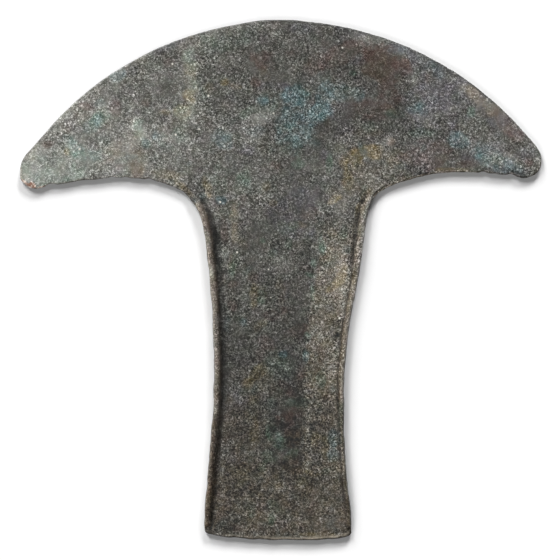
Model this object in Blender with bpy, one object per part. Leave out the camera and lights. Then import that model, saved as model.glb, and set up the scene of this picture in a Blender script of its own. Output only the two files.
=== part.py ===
"""Copper axe money: a thin hammered sheet with a crescent edge, two horns and a flanged shank.

The whole thing is one piece of metal, so it is one solid. It lies on its back: X runs from
horn to horn, Y from the butt to the crest of the edge, and Z up. The origin is on the
underside, below the middle of the outline. Sizes are in millimetres until they reach Blender.
"""

import math

import bmesh
import bpy
from mathutils import Vector

MM = 0.001

# Driving sizes of the sheet.
THICKNESS = 1.2
RIM_ROUND = 0.45
CURVE_STEPS = 5
ROUND_STEPS = 2

# The cutting edge is two arcs of one radius, drawn from centres a little apart, which meet
# in a faint point at the crest. Angles are in degrees from +X.
EDGE_RADIUS = 88.4
ARC_KNOTS = 5
RIGHT_ARC_CENTRE = (-1.0, -18.75)
RIGHT_ARC_SPAN = (39.5, 84.0)
LEFT_ARC_CENTRE = (3.5, -18.4)
LEFT_ARC_SPAN = (97.5, 142.0)
CREST = (-3.2, 69.8)

# The rest of the outline, counter-clockwise from the left horn. The left horn hangs lower and
# ends in a broken corner, and the right horn is blunter.
LEFT_HORN = [(-69.3, 32.1), (-70.0, 28.8), (-69.6, 26.6), (-67.5, 24.9), (-65.2, 24.5), (-62.6, 25.1)]
LEFT_UNDERSIDE = [(-59.0, 25.8), (-50.7, 26.9), (-41.5, 27.4), (-35.3, 26.9)]
BUTT = [(-20.2, -67.8), (-18.0, -68.5), (-10.5, -69.5), (2.0, -69.95), (12.0, -69.7), (17.0, -69.1)]
BUTT_CORNER = [(18.75, -68.3)]
RIGHT_UNDERSIDE = [(40.3, 28.3), (48.5, 28.95), (57.0, 28.6), (63.0, 27.85)]
RIGHT_HORN = [(66.0, 27.4), (68.5, 28.4), (69.9, 30.9), (69.95, 33.0), (69.1, 35.1)]

# The two margins of the shank, as (x, y, flange). They are hammered up into flanges, and the
# third number scales the flange's full section, from nothing under the horns.
LEFT_MARGIN = [
    (-30.5, 25.5, 0.10),
    (-27.0, 24.1, 0.30),
    (-24.2, 21.4, 0.50),
    (-22.4, 18.6, 0.70),
    (-20.8, 13.5, 0.90),
    (-19.85, 7.5, 1.00),
    (-19.05, 0.0, 1.00),
    (-18.3, -10.5, 1.00),
    (-17.95, -22.0, 1.00),
    (-18.1, -32.5, 1.00),
    (-18.8, -43.2, 0.95),
    (-19.7, -54.0, 0.90),
    (-20.4, -62.5, 0.85),
    (-20.5, -66.4, 0.75),
]
RIGHT_MARGIN = [
    (18.95, -66.4, 0.70),
    (18.8, -62.5, 0.75),
    (18.1, -56.0, 0.80),
    (17.3, -46.5, 0.85),
    (17.0, -33.5, 0.90),
    (17.4, -21.5, 0.95),
    (18.75, -10.5, 1.00),
    (20.8, 0.5, 1.00),
    (22.3, 10.0, 1.00),
    (23.0, 16.0, 0.90),
    (24.2, 20.2, 0.70),
    (26.1, 23.1, 0.50),
    (29.5, 25.0, 0.30),
    (34.5, 26.8, 0.10),
]

# The flange's full section, across from the margin and up from its root in the sheet.
FLANGE_INSET = 0.15
FLANGE_ROOT = 0.9
FLANGE_SECTION = [
    (0.0, -0.5),
    (2.1, -0.5),
    (1.85, 0.5),
    (1.55, 1.5),
    (1.15, 1.95),
    (0.5, 2.1),
    (0.1, 1.75),
]

# Patinated copper, linear.
PATINA_COLOUR = (0.115, 0.117, 0.103, 1.0)
PATINA_ROUGHNESS = 0.65
PATINA_METALLIC = 0.2


def clear_scene():
    """Removes what the scene starts with."""
    for obj in list(bpy.data.objects):
        bpy.data.objects.remove(obj)


def collection(name):
    """A new collection in the scene."""
    made = bpy.data.collections.new(name)
    bpy.context.scene.collection.children.link(made)
    return made


def arc(centre, radius, span, knots):
    """Points spaced evenly along a circular arc, from span's first angle to its last."""
    first, last = (math.radians(angle) for angle in span)
    angles = [first + (last - first) * i / (knots - 1) for i in range(knots)]
    return [(centre[0] + radius * math.cos(a), centre[1] + radius * math.sin(a)) for a in angles]


def places(margin):
    """The knots of a margin, without the scale of its flange."""
    return [(x, y) for x, y, _ in margin]


def outline():
    """The knots of the whole outline, counter-clockwise from the right end of the edge."""
    right_edge = arc(RIGHT_ARC_CENTRE, EDGE_RADIUS, RIGHT_ARC_SPAN, ARC_KNOTS)
    left_edge = arc(LEFT_ARC_CENTRE, EDGE_RADIUS, LEFT_ARC_SPAN, ARC_KNOTS)
    left = LEFT_HORN + LEFT_UNDERSIDE + places(LEFT_MARGIN)
    right = places(RIGHT_MARGIN) + RIGHT_UNDERSIDE + RIGHT_HORN
    return right_edge + [CREST] + left_edge + left + BUTT + BUTT_CORNER + right


def inset(knots, distance):
    """The knots moved to the left of their own direction of travel by a distance."""
    points = [Vector(knot) for knot in knots]
    moved = []
    for i, point in enumerate(points):
        ahead = points[min(i + 1, len(points) - 1)] - points[max(i - 1, 0)]
        inward = Vector((-ahead.y, ahead.x)).normalized()
        moved.append(tuple(point + inward * distance))
    return moved


def smooth_curve(name, knots, closed):
    """A flat curve through the knots, whose handles Blender sets."""
    curve = bpy.data.curves.new(name, "CURVE")
    curve.dimensions = "2D"
    curve.resolution_u = CURVE_STEPS
    spline = curve.splines.new("BEZIER")
    spline.bezier_points.add(len(knots) - 1)
    for point, (x, y) in zip(spline.bezier_points, knots):
        point.co = (x * MM, y * MM, 0.0)
        point.handle_left_type = point.handle_right_type = "AUTO"
    spline.use_cyclic_u = closed
    return curve


def as_mesh(name, curve_object, home):
    """A mesh object of the curve's solid, with its loose caps welded on. The curve goes."""
    graph = bpy.context.evaluated_depsgraph_get()
    mesh = bpy.data.meshes.new_from_object(curve_object.evaluated_get(graph))
    mesh.name = name
    shape = bmesh.new()
    shape.from_mesh(mesh)
    bmesh.ops.remove_doubles(shape, verts=shape.verts, dist=0.002 * MM)
    bmesh.ops.recalc_face_normals(shape, faces=shape.faces)
    shape.to_mesh(mesh)
    shape.free()
    solid = bpy.data.objects.new(name, mesh)
    solid.matrix_world = curve_object.matrix_world
    home.objects.link(solid)
    bpy.data.objects.remove(curve_object)
    return solid


def make_sheet(home):
    """The flat sheet: the outline at full thickness, with its rim rounded off."""
    curve = smooth_curve("sheet_outline", outline(), closed=True)
    curve.fill_mode = "BOTH"
    curve.extrude = (THICKNESS / 2 - RIM_ROUND) * MM
    curve.bevel_depth = RIM_ROUND * MM
    curve.bevel_resolution = ROUND_STEPS
    curve.offset = -RIM_ROUND * MM
    drawn = bpy.data.objects.new("sheet_outline", curve)
    drawn.location.z = THICKNESS / 2 * MM
    home.objects.link(drawn)
    bpy.context.view_layer.update()
    return as_mesh("axe_money", drawn, home)


def make_section(name, home):
    """The closed section that a flange is swept with, in the plane across its path."""
    curve = bpy.data.curves.new(name, "CURVE")
    curve.dimensions = "2D"
    spline = curve.splines.new("POLY")
    spline.points.add(len(FLANGE_SECTION) - 1)
    for point, (across, up) in zip(spline.points, FLANGE_SECTION):
        point.co = (-across * MM, up * MM, 0.0, 1.0)
    spline.use_cyclic_u = True
    drawn = bpy.data.objects.new(name, curve)
    drawn.hide_render = True
    home.objects.link(drawn)
    return drawn


def make_flange(name, margin, home):
    """One hammered-up margin, as a tapering bead that is rooted in the sheet."""
    curve = smooth_curve(name + "_path", inset(places(margin), FLANGE_INSET), closed=False)
    for point, (_, _, scale) in zip(curve.splines[0].bezier_points, margin):
        point.radius = scale
    section = make_section(name + "_section", home)
    curve.bevel_mode = "OBJECT"
    curve.bevel_object = section
    curve.use_fill_caps = True
    drawn = bpy.data.objects.new(name + "_path", curve)
    drawn.location.z = FLANGE_ROOT * MM
    home.objects.link(drawn)
    bpy.context.view_layer.update()
    flange = as_mesh(name, drawn, home)
    bpy.data.objects.remove(section)
    flange.hide_render = True
    flange.display_type = "WIRE"
    return flange


def join(sheet, flange):
    """Makes the flange one body with the sheet."""
    union = sheet.modifiers.new(flange.name, "BOOLEAN")
    union.operation = "UNION"
    union.object = flange


def patina():
    """The material of copper that has been buried for centuries."""
    material = bpy.data.materials.new("patinated_copper")
    material.use_nodes = True
    shader = material.node_tree.nodes["Principled BSDF"]
    shader.inputs["Base Color"].default_value = PATINA_COLOUR
    shader.inputs["Roughness"].default_value = PATINA_ROUGHNESS
    shader.inputs["Metallic"].default_value = PATINA_METALLIC
    return material


def main():
    """Builds the axe money."""
    clear_scene()
    part = collection("copper_axe_money")
    cutters = collection("joined_shapes")
    sheet = make_sheet(part)
    join(sheet, make_flange("left_flange", LEFT_MARGIN, cutters))
    join(sheet, make_flange("right_flange", RIGHT_MARGIN, cutters))
    sheet.data.materials.append(patina())
    sheet.data.shade_smooth()
    sheet.data.set_sharp_from_angle(angle=math.radians(40))


main()
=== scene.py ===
"""Copper axe money: a thin hammered sheet with a crescent edge and raised margins, under its burial patina.

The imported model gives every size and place. Its one solid is remade as a dense mesh, the hammer work and the
corrosion are worked into that mesh, the minerals that lie on the copper are laid out as masks on it, and one
finish turns the masks into looks. X runs from horn to horn, Y from the butt to the crest, and Z up.
"""

import logging
import math
from dataclasses import dataclass
from enum import Enum
from typing import Any

import bmesh
import bpy
import numpy as np
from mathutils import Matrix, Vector, noise
from mathutils.bvhtree import BVHTree
from mathutils.kdtree import KDTree


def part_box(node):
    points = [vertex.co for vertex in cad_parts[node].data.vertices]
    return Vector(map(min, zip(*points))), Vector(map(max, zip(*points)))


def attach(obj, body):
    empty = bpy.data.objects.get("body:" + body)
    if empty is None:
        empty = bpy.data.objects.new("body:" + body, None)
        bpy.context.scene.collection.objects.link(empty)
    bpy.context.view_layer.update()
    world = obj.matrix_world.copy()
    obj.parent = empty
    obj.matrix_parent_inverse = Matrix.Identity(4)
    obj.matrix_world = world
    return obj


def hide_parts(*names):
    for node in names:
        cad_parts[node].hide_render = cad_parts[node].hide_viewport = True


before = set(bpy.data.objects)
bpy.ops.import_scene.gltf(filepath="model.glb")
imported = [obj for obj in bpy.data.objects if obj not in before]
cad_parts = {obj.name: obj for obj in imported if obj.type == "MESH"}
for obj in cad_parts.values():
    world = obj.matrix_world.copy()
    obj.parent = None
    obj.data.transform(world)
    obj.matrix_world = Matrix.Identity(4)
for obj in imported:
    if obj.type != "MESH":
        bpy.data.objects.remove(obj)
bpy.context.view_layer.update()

MM = 0.001
NODE = "axe_money"
BODY = "root"

# Sockets of a colour Mix node, whose names repeat for each type of value, and of a MapRange node.
MIX_FACTOR, MIX_BELOW, MIX_ABOVE, MIX_RESULT = 0, 6, 7, 2
FROM, TO = ("From Min", "From Max"), ("To Min", "To Max")

# What a noise texture gives on average.
NOISE_MIDDLE = 0.5

# How far apart two clouds of noise, or two scatters of cups, are taken from the same pattern.
CLOUD_STEP, CUP_STEP = Vector((31.7, 17.3, 7.9)), Vector((11.3, 5.1, 23.7))

# Where a soft stain ends and where it is full, in parts of its oval's radius, what a crisp edge takes
# off the one and adds to the other, and how far the outline wanders.
STAIN_END, STAIN_FULL = 1.4, 0.35
CRISP_END, CRISP_FULL = 0.42, 0.58
STAIN_RAGGED = 0.4

# Where a dent ends and where it has its full depth, in parts of its oval's radius.
DENT_END, DENT_FULL = 1.1, 0.2

# Reading the rim, in millimetres: between its points, in from it to the top of a margin, and how high
# above the back the margin is looked for.
RIM_STEP, RIM_PROBE, RIM_ABOVE = 0.1, 1.1, 10.0

# How far a stretch of a margin fades into the next, to each side, in millimetres.
MARGIN_FADE = 3.0

# Where a margin starts to count as raised and where it fully does, in parts of its full height.
RAISED_FROM, RAISED_TO = 0.05, 0.4

# Short names for types that recur.
Pair = tuple[float, float]
Tree = bpy.types.NodeTree
Socket = bpy.types.NodeSocket

log = logging.getLogger("axe_money")


class Mineral(Enum):
    """What lies on the copper. The value is the name of its mask on the mesh.

    The last three aren't minerals of their own. BARE is a chip that shows the metal, SMOOTH is a patch whose
    grains stand out less, and CHALK is a thin pale film that lightens what lies under it.
    """

    SULPHIDE = "sulphide"
    CUPRITE = "cuprite"
    EARTH = "earth"
    OCHRE = "ochre"
    MALACHITE = "malachite"
    VERDIGRIS = "verdigris"
    BLOOM = "bloom"
    TENORITE = "tenorite"
    BARE = "bare"
    SMOOTH = "smooth"
    CHALK = "chalk"


def linear(code: str) -> tuple[float, float, float, float]:
    """Turns an sRGB hex colour into linear red, green, blue and a full alpha, by the sRGB standard's curve.

    Args:
        code: six hex digits after a hash sign.

    Returns:
        The linear colour.
    """
    parts = [int(code[i:i + 2], 16) / 255 for i in (1, 3, 5)]
    red, green, blue = (p / 12.92 if p <= 0.04045 else ((p + 0.055) / 1.055) ** 2.4 for p in parts)
    return red, green, blue, 1.0


def per_metre(size: float) -> float:
    """The scale of a pattern whose features are size millimetres apart."""
    return 1.0 / (size * MM)


def smoothstep(low: float, high: float, value: np.ndarray) -> np.ndarray:
    """Rises smoothly from 0 at low to 1 at high, or falls if low is the greater."""
    t = np.clip((value - low) / (high - low), 0.0, 1.0)
    return t * t * (3.0 - 2.0 * t)


def at_least(least: float, share: np.ndarray) -> np.ndarray:
    """Lifts shares that run from 0 to 1 so that they run from least to 1."""
    return least + (1.0 - least) * share


def standing(raised: np.ndarray) -> np.ndarray:
    """How far the rim beside each place stands up as a margin, from 0 to 1."""
    return smoothstep(RAISED_FROM, RAISED_TO, raised)


def rumple(places: np.ndarray, size: float, octaves: int, seed: int) -> np.ndarray:
    """Cloudy noise about zero.

    Args:
        places: the places in millimetres, one row each.
        size: millimetres between the largest swells.
        octaves: how many finer copies are added in.
        seed: picks another cloud of the same kind.

    Returns:
        One value a place, mostly between -1 and 1.
    """
    shift = CLOUD_STEP * seed
    return np.array([noise.fractal(Vector(p) / size + shift, 1.0, 2.0, octaves) for p in places])


def cups(places: np.ndarray, size: float, seed: int) -> np.ndarray:
    """Distance from the middle of the nearest of many scattered cups.

    Args:
        places: the places in millimetres, one row each.
        size: millimetres between cups.
        seed: picks another scatter.

    Returns:
        One value a place, from 0 in the middle of a cup to about 1 at its lip.
    """
    shift = CUP_STEP * seed
    return np.array([noise.voronoi(Vector(p) / size + shift)[0][0] for p in places])


def oval(places: np.ndarray, x: float, y: float, length: float, width: float, angle: float) -> np.ndarray:
    """Distance from the middle of an oval, where 1 is its outline.

    Args:
        places: the places in millimetres, one row each.
        x, y: its middle.
        length, width: its two diameters.
        angle: the turn of its length from +X, in degrees.

    Returns:
        One value a place.
    """
    turn = math.radians(angle)
    across, up = places[:, 0] - x, places[:, 1] - y
    along = (across * math.cos(turn) + up * math.sin(turn)) / (length / 2)
    beside = (up * math.cos(turn) - across * math.sin(turn)) / (width / 2)
    return np.hypot(along, beside)


@dataclass(frozen=True)
class Stain:
    """A patch of a mineral with a ragged outline, in millimetres and degrees."""

    x: float
    y: float
    length: float
    width: float
    strength: float
    turn: float = 0.0

    def cover(self, places: np.ndarray, wander: np.ndarray, crisp: float) -> np.ndarray:
        """How much of the copper the patch hides.

        Args:
            places: the places in millimetres, one row each.
            wander: noise about zero that makes the outline ragged.
            crisp: how abruptly the patch ends, from 0 to below 1.

        Returns:
            One value a place, from 0 to the patch's strength.
        """
        away = oval(places, self.x, self.y, self.length, self.width, self.turn) + STAIN_RAGGED * wander
        end, full = STAIN_END - CRISP_END * crisp, STAIN_FULL + CRISP_FULL * crisp
        return self.strength * smoothstep(end, full, away)


def stains(*rows: tuple[float, ...]) -> tuple[Stain, ...]:
    """Stains from rows of middle x and y, length, width, strength and, where it has one, turn."""
    return tuple(Stain(*row) for row in rows)


@dataclass(frozen=True)
class Dent:
    """A hollow in the front face, or with a negative depth a raised crust, in millimetres and degrees."""

    x: float
    y: float
    length: float
    width: float
    angle: float
    depth: float

    def sink(self, places: np.ndarray) -> np.ndarray:
        """How far the face is lowered at each place."""
        away = oval(places, self.x, self.y, self.length, self.width, self.angle)
        return self.depth * smoothstep(DENT_END, DENT_FULL, away)


@dataclass(frozen=True)
class Nick:
    """A bite out of the rim, in millimetres."""

    x: float
    y: float
    reach: float
    depth: float

    def bite(self, places: np.ndarray) -> np.ndarray:
        """How far the rim is pushed in at each place."""
        away = oval(places, self.x, self.y, 2 * self.reach, 2 * self.reach, 0.0)
        return self.depth * smoothstep(1.0, 0.0, away)


# How abruptly the patches of each mineral end, where it isn't softly.
CRISP = {
    Mineral.CUPRITE: 0.55, Mineral.EARTH: 0.4, Mineral.OCHRE: 0.4, Mineral.MALACHITE: 0.4,
    Mineral.VERDIGRIS: 0.4, Mineral.SMOOTH: 0.6, Mineral.SULPHIDE: 0.3,
}

# The patches on the front, by mineral. Each row is a stain.
FRONT: dict[Mineral, tuple[Stain, ...]] = {
    Mineral.SULPHIDE: stains(
        (59, 44, 18, 9, 0.7, -50), (37, 33, 14, 9, 0.6), (66, 34, 6, 6, 0.6), (34, 28, 8, 4, 0.6),
        (34, 61, 14, 5, 0.4, -30), (24, 26, 6, 4, 0.4), (-11, -31, 6, 8, 0.5), (-11, -45, 5, 5, 0.5),
        (-13, -53, 5, 4, 0.5), (20, 59, 5, 4, 0.4), (42, 50, 22, 18, 0.8, 30), (16, 45, 8, 6, 0.6),
        (19, 67, 9, 3, 0.6, -12), (5, 67.5, 7, 3, 0.6), (0.5, 20, 5, 4, 0.8), (6, 22, 9, 8, 0.7),
        (2, 15, 13, 6, 0.7, -35), (12, 33.5, 3.5, 3, 0.5), (50, 36, 13, 8, 0.4, -30), (62, 28.8, 12, 3, 0.7),
        (0, 52, 7, 3, 0.6), (-12.5, 48.5, 4, 5, 0.5), (-9.5, 35, 6, 3, 0.6), (-30, 63, 11, 3, 0.5, 27),
        (-2, -51, 6, 3.5, 0.6), (8.8, 12, 1.6, 5, 0.6), (8.2, -1, 2, 2.5, 0.7), (35, 41, 7, 3.5, 0.5),
        (45, 43.5, 10, 6, 0.4), (38, 58, 12, 5, 0.5, -30), (-3, 51.5, 7, 4, 0.4), (-17, -20, 3, 8, 0.4),
        (13, -37, 5, 5, 0.4), (-13, -50, 5, 6, 0.4), (56.5, 47.5, 6, 4, 0.4, -45), (62, 29.5, 6, 3, 0.4),
        (0.5, -3, 4, 4, 0.4), (31.5, 62, 6, 4, 0.5), (59, 35.5, 5, 4, 0.3), (17.5, 39, 6, 5, 0.4),
    ),
    Mineral.CUPRITE: stains(
        (-20.8, 18.5, 3.6, 9, 0.8, 20), (-19.5, -60, 4, 18, 0.7, -4), (-17.8, -5, 3, 8, 0.6, 5),
        (18, -62, 3.6, 10, 0.6), (-8, -57, 5, 4, 0.35), (-6, -50, 4, 3, 0.35), (26, 58, 11, 11, 1),
        (31.5, 56, 8, 9, 1, -50), (29.5, 50, 8, 10, 0.8), (24, 45.5, 11, 7, 0.75), (25, 43.3, 2.6, 2.2, 0.9),
        (16.5, 60.5, 12, 6.5, 0.7, 20), (10, 58.5, 8, 5, 0.5, 30), (3.5, 60.5, 3.5, 3, 0.5),
        (-4, 58.5, 8, 5, 0.65, -30), (-7, 53, 3, 3, 0.7), (62, 40, 15, 5, 0.7, -52),
        (67, 31.5, 2.8, 3.5, 0.7), (40, 33.5, 15, 9, 0.6), (50, 31, 7, 2.2, 0.5),
        (-62.5, 36.5, 4.5, 2.8, 0.8, 10), (-52.5, 46.5, 5.5, 2.2, 0.6, -10), (-44.5, 46, 3.5, 4.5, 0.6),
        (-36, 47.5, 3.5, 2.5, 0.5), (-38.5, 28.5, 3, 3, 0.5), (-12.5, 20, 4, 3, 0.5), (-1.5, 31, 3, 2.2, 0.5),
        (8, 18, 6, 4, 0.5, -30), (-15, 13, 3, 9, 0.45, 5), (-12.8, -1, 3.2, 2.2, 0.6),
        (-13, -7, 3.2, 3.2, 0.6), (-7.5, 1, 3.4, 3.4, 0.45), (1, -8.3, 2.6, 2.2, 0.8), (-2, -9.5, 6, 3, 0.6),
        (8, -9, 3.2, 3.4, 0.5), (4, -14, 8, 3.2, 0.7, 20), (-3.5, -17, 5, 4, 0.6, -45),
        (-5, -20, 3.4, 4.5, 0.5), (5.5, -25, 3.4, 5, 0.6), (1.5, -29, 7, 2.4, 0.7, -50),
        (-1, -38, 2.2, 3.2, 0.9), (3, -40, 5.5, 10, 1), (3.5, -36, 7, 5, 0.7), (3, -50, 5.5, 7, 0.8, 30),
        (-12, -38, 10, 12, 0.45), (-12, -46, 3.4, 2.6, 0.6), (-13, -57, 4.5, 7, 0.5),
        (-15.5, -62, 4.2, 3.4, 0.6), (14, -36.5, 5.5, 4.5, 0.4), (7, -57, 6, 4.5, 0.5),
        (9, -62, 4.5, 7, 0.45), (3, -66, 6, 4, 0.5), (-13, -67, 6, 3.4, 0.5), (-6.5, -66.5, 4.5, 3.4, 0.5),
    ),
    Mineral.EARTH: stains(
        (-18.8, -59, 5, 20, 0.8, -4), (17, -65, 5, 10, 0.8), (26, 56.5, 9, 8, 0.6), (33, 26, 9, 3.5, 0.5, 10),
        (-9, -31, 6, 6, 0.4), (-17, -26, 3, 10, 0.5), (2.5, -43, 6, 6, 0.5), (13, -54, 7, 6, 0.3),
        (-3, -58, 44, 26, 0.75), (-9, -44, 18, 22, 0.45), (9.5, -30, 9, 26, 0.5), (24, 27, 15, 9, 0.4),
        (-45, 34, 7, 7, 0.5), (-38.5, 32, 10, 5, 0.7, 85), (-67, 34, 6, 5, 0.5, 50),
        (52, 49.8, 8, 4, 0.7, -38), (30, 37, 3, 3, 0.7), (-31, 28.5, 8, 3, 0.5, -5), (-6, -27, 10, 10, 0.4),
        (16.3, 1.5, 3.4, 7, 0.8, -10), (33, 27.5, 6, 5, 0.5), (11, -28, 6, 6, 0.4), (-19, -66.5, 3.5, 6, 0.8),
        (17.8, -25, 2.8, 14, 0.5), (20.8, 0.5, 2.2, 6, 0.5), (-38.5, 38, 5, 5, 0.4), (-26, 44, 5, 4, 0.3),
        (-68.8, 28.5, 4, 8, 0.2), (-20, -67, 3, 5, 0.6), (11, -49, 5, 7, 0.3),
    ),
    Mineral.OCHRE: stains(
        (20, 33.5, 7, 4, 1, 30), (24.5, 34.5, 7, 4, 0.85, 10), (20.5, 31, 4, 4, 0.8),
        (24, 35, 5, 2.6, 0.9, 10), (31, 33, 9, 5, 0.35, -20), (18, 27, 3.5, 7, 0.7),
        (14.5, 21.5, 4.5, 2, 1, 30), (22.5, 21, 2.8, 8, 0.8, -30), (-24.5, 49.5, 4, 3, 1, -30),
        (-26.5, 45, 4.6, 4.2, 0.9), (-24, 55.5, 4.5, 9, 0.45, 5), (17, 31.5, 3, 4, 0.7),
        (-15, 53, 2.6, 1.8, 1), (-12, 52, 3.4, 1.6, 0.6, -20), (-19.5, 52, 3.6, 3.6, 0.4),
        (-31, 45, 3.4, 1.8, 0.6), (-57.5, 34.5, 2, 2, 0.8), (-29, 28, 7, 2.2, 0.2),
        (-25.5, 24.2, 8, 2, 0.6, -45), (-19.7, 24.5, 2.2, 6, 0.8, 15), (-1.8, 20.5, 2.2, 1.8, 0.7),
        (-4, 25, 2.4, 3, 0.4), (-13, 4, 2.8, 9, 0.4), (-12.5, 14, 2.6, 11, 0.45), (13.8, 12.5, 2.8, 2.2, 0.4),
        (16.3, 1, 2.6, 6, 0.8, -20), (14.5, -1.5, 5, 1.8, 0.9, 40), (19.8, 0.6, 1.9, 3.6, 1, -10),
        (-5, -4.5, 2.8, 4.5, 0.4), (-7.2, -5, 2.4, 7, 0.8), (-4.8, -11.5, 2.4, 1.8, 0.6),
        (-6, -25, 6, 3.4, 0.7, 45), (-9, -28, 4.5, 3.4, 0.5), (-7.5, -32, 2.8, 3.4, 0.5),
        (-7, -42, 2.8, 12, 0.5), (-10, -52, 4.5, 4.5, 0.5), (8.3, -52, 5, 1.8, 1, -15),
        (9.3, -43, 2.4, 5, 0.7), (12, -45, 2.2, 5, 0.6), (5.5, -54, 3.4, 2.4, 0.6),
        (15.5, -50, 4, 2, 0.6, -45), (10, -68.5, 12, 1.3, 0.8), (-18.6, -60, 1.6, 14, 0.7, -4),
        (46, 29.5, 10, 1.4, 0.6), (22, 34, 5, 3, 0.7, 20), (16.5, 36.5, 3, 6, 0.15, -35),
        (23, 39.5, 8, 2.4, 0.15),
    ),
    Mineral.MALACHITE: stains(
        (2, 36, 10, 6, 0.35), (-9, 45, 9, 3, 0.5, 30), (-10, 27, 5.5, 4, 0.7, 40), (-5, 10.5, 2.2, 2.2, 0.6),
        (2, 10, 2.2, 3.2, 0.5), (-2.5, 7, 3.4, 3.4, 0.4), (13, 31, 2.2, 6, 0.7), (5, 31, 3.4, 2.8, 0.7),
        (19.5, 55.5, 2.8, 1.8, 0.8), (51, 45, 2.2, 3.4, 0.8), (11.2, 9, 1.8, 6, 0.8, 8),
        (17, 13, 2.2, 3.6, 0.5), (-2.5, -41, 3.4, 4.4, 1), (0, -44, 4.4, 5.5, 0.9), (-3, -47.5, 6, 4.5, 0.6),
        (2.5, -47, 5, 2.8, 0.7, 30), (-5, -50, 3.6, 2.8, 0.7, 45), (-2, -60.5, 3.4, 3.4, 0.6),
        (-2.5, -64.5, 2.4, 4, 0.7), (1, -63, 4, 4, 0.3), (12, -51.5, 2.2, 2.2, 0.8), (-22, 51, 5, 6, 0.4),
        (-7.5, -62, 3.4, 3.4, 0.5), (16, -39, 1.6, 12, 0.5), (4, -33, 10, 2.8, 0.5), (-2, -33, 3.4, 4.5, 0.4),
        (-17.8, -35, 1.6, 6, 0.6), (11, -27, 2.8, 4.5, 0.6), (31, 44.5, 6, 3, 0.5, -10),
        (38, 39.5, 9, 2.8, 0.4), (-24, 58, 4, 9, 0.4), (-38.5, 41, 3, 4, 0.6, -20), (-13, 3, 2.4, 7, 0.6),
        (-5, -5, 2.4, 4.6, 0.6), (0, -23, 9, 8, 0.45), (-26, 44, 6, 6, 0.4), (-28, 39, 6, 4, 0.4),
        (-59, 28, 14, 5, 0.6, 10), (-48, 37, 5, 4, 0.4), (9, 4.2, 2, 3.6, 1), (7.8, 1.4, 3.2, 1.4, 0.8, -20),
        (8.6, -3.8, 1.6, 5, 1, 5), (7, -15.5, 1.6, 3, 0.8), (-15, 64, 18, 6, 0.35, 15),
        (-48.5, 33.5, 6, 4, 0.4), (-54.8, 35, 7, 4, 0.8, -50), (-36, 41, 6, 5, 0.4),
        (-49, 43, 6, 4.5, 0.6, 40), (-17, 28, 6, 5, 0.4), (-31, 36, 6, 4, 0.35), (-3, 47.5, 8, 4, 0.35),
        (1, 14, 6, 4, 0.35), (-12, 6, 3, 6, 0.4), (-49, 43.5, 6, 4, 0.5, 45), (-57, 38, 5, 3, 0.3, -30),
        (-61, 31, 20, 13, 0.28, 20), (-36, 36.5, 4, 3.5, 0.35),
    ),
    Mineral.VERDIGRIS: stains(
        (4, 49, 9, 7, 0.85), (11.5, 50, 5.5, 9, 0.8), (10, 45, 8, 5.5, 0.8, 20), (3, 44, 7, 7, 0.7),
        (4, 39, 11, 9, 0.6), (-4.5, 48.5, 4, 3.4, 0.7), (-15.5, 37.5, 5.5, 4.2, 0.5, -40),
        (21, 50, 3.4, 5, 0.5), (-49, 43.5, 4.4, 3, 0.5, 45), (-54.5, 34.5, 7, 3.2, 0.25, -55),
        (-57, 38, 5, 3, 0.3, -30), (-43.5, 55, 5, 3.6, 0.6, 30), (-51, 41, 5, 4, 0.3, 30),
        (-36, 36.5, 3.4, 3, 0.4), (-33, 38.5, 5, 3.4, 0.4), (48, 37.5, 6, 4.5, 0.6, -20),
        (57, 32.5, 12, 6, 0.5, -35), (31.5, 62, 5, 3.5, 0.25), (52.5, 34, 3.4, 2.8, 0.6),
        (63, 30.5, 6, 4, 0.3, -30), (16, 50.5, 5, 6, 0.35), (-7, 40, 6, 4, 0.3), (-50, 33.5, 5, 4, 0.35),
        (-16, 21.5, 2.8, 2.4, 0.8), (0.8, -20, 2.8, 2.4, 0.9), (14.5, -43, 3.6, 5, 0.6),
        (14.5, -47, 4.6, 3.6, 0.5), (6.8, -20.5, 2.2, 3.4, 1), (-10, -11.5, 3.4, 2.8, 0.5),
        (-14.5, -12, 2.2, 5, 0.25), (37, 46, 7, 3.4, 0.35), (41, 57, 9, 4.5, 0.3, -30),
    ),
    Mineral.BLOOM: stains(
        (-66, 31, 15, 14, 1, 50), (-57, 31.5, 32, 17, 0.75, 15), (-54.5, 47.5, 34, 6, 0.5, 47),
        (-38, 59, 24, 5, 0.35, 35), (-23, 65.5, 26, 4.5, 0.35, 20), (-34, 38, 17, 6, 0.5),
        (-24, 51.5, 5, 7, 0.5), (-8, 39, 7, 6, 0.4), (-5, 26, 4, 6, 0.35), (-14, 38, 5, 4, 0.2),
        (-28, 26.5, 6, 3, 0.3, -10), (-52, 28, 7, 3, 0.2), (-68, 26, 4, 3, 0.6), (-9, -6, 5, 4, 0.25),
        (24, 65, 14, 4, 0.35, -15), (37, 60, 16, 4, 0.35, -30), (57, 47, 10, 4, 0.35, -45),
        (69, 31.5, 4, 7, 0.45, 15), (49, 39, 6, 4, 0.3), (13, 50, 4, 5, 0.25), (12, 29, 4, 5, 0.3),
        (16.5, 19, 5, 9, 0.3), (16.5, 5, 4, 9, 0.35, 5), (16, -7, 2.4, 8, 0.4, 8), (15.5, -24, 2, 9, 0.3),
        (16.5, -50, 2, 7, 0.35), (-18.5, 19.5, 4, 7, 0.3, 20), (-50, 42, 42, 14, 0.45, 42),
        (-40, 31, 34, 10, 0.45), (-44, 38, 30, 20, 0.35, 20), (-28, 44, 34, 32, 0.2),
        (-66.5, 33, 6, 5, 0.6, 60), (-55, 34, 8, 4, 0.4, -50), (-38.5, 41, 3.5, 5, 0.7, -20),
        (-45, 34, 6, 6, 0.4), (-5.5, 43, 10, 3.4, 0.55, 30), (-26.5, 45, 5, 4, 0.4),
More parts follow.
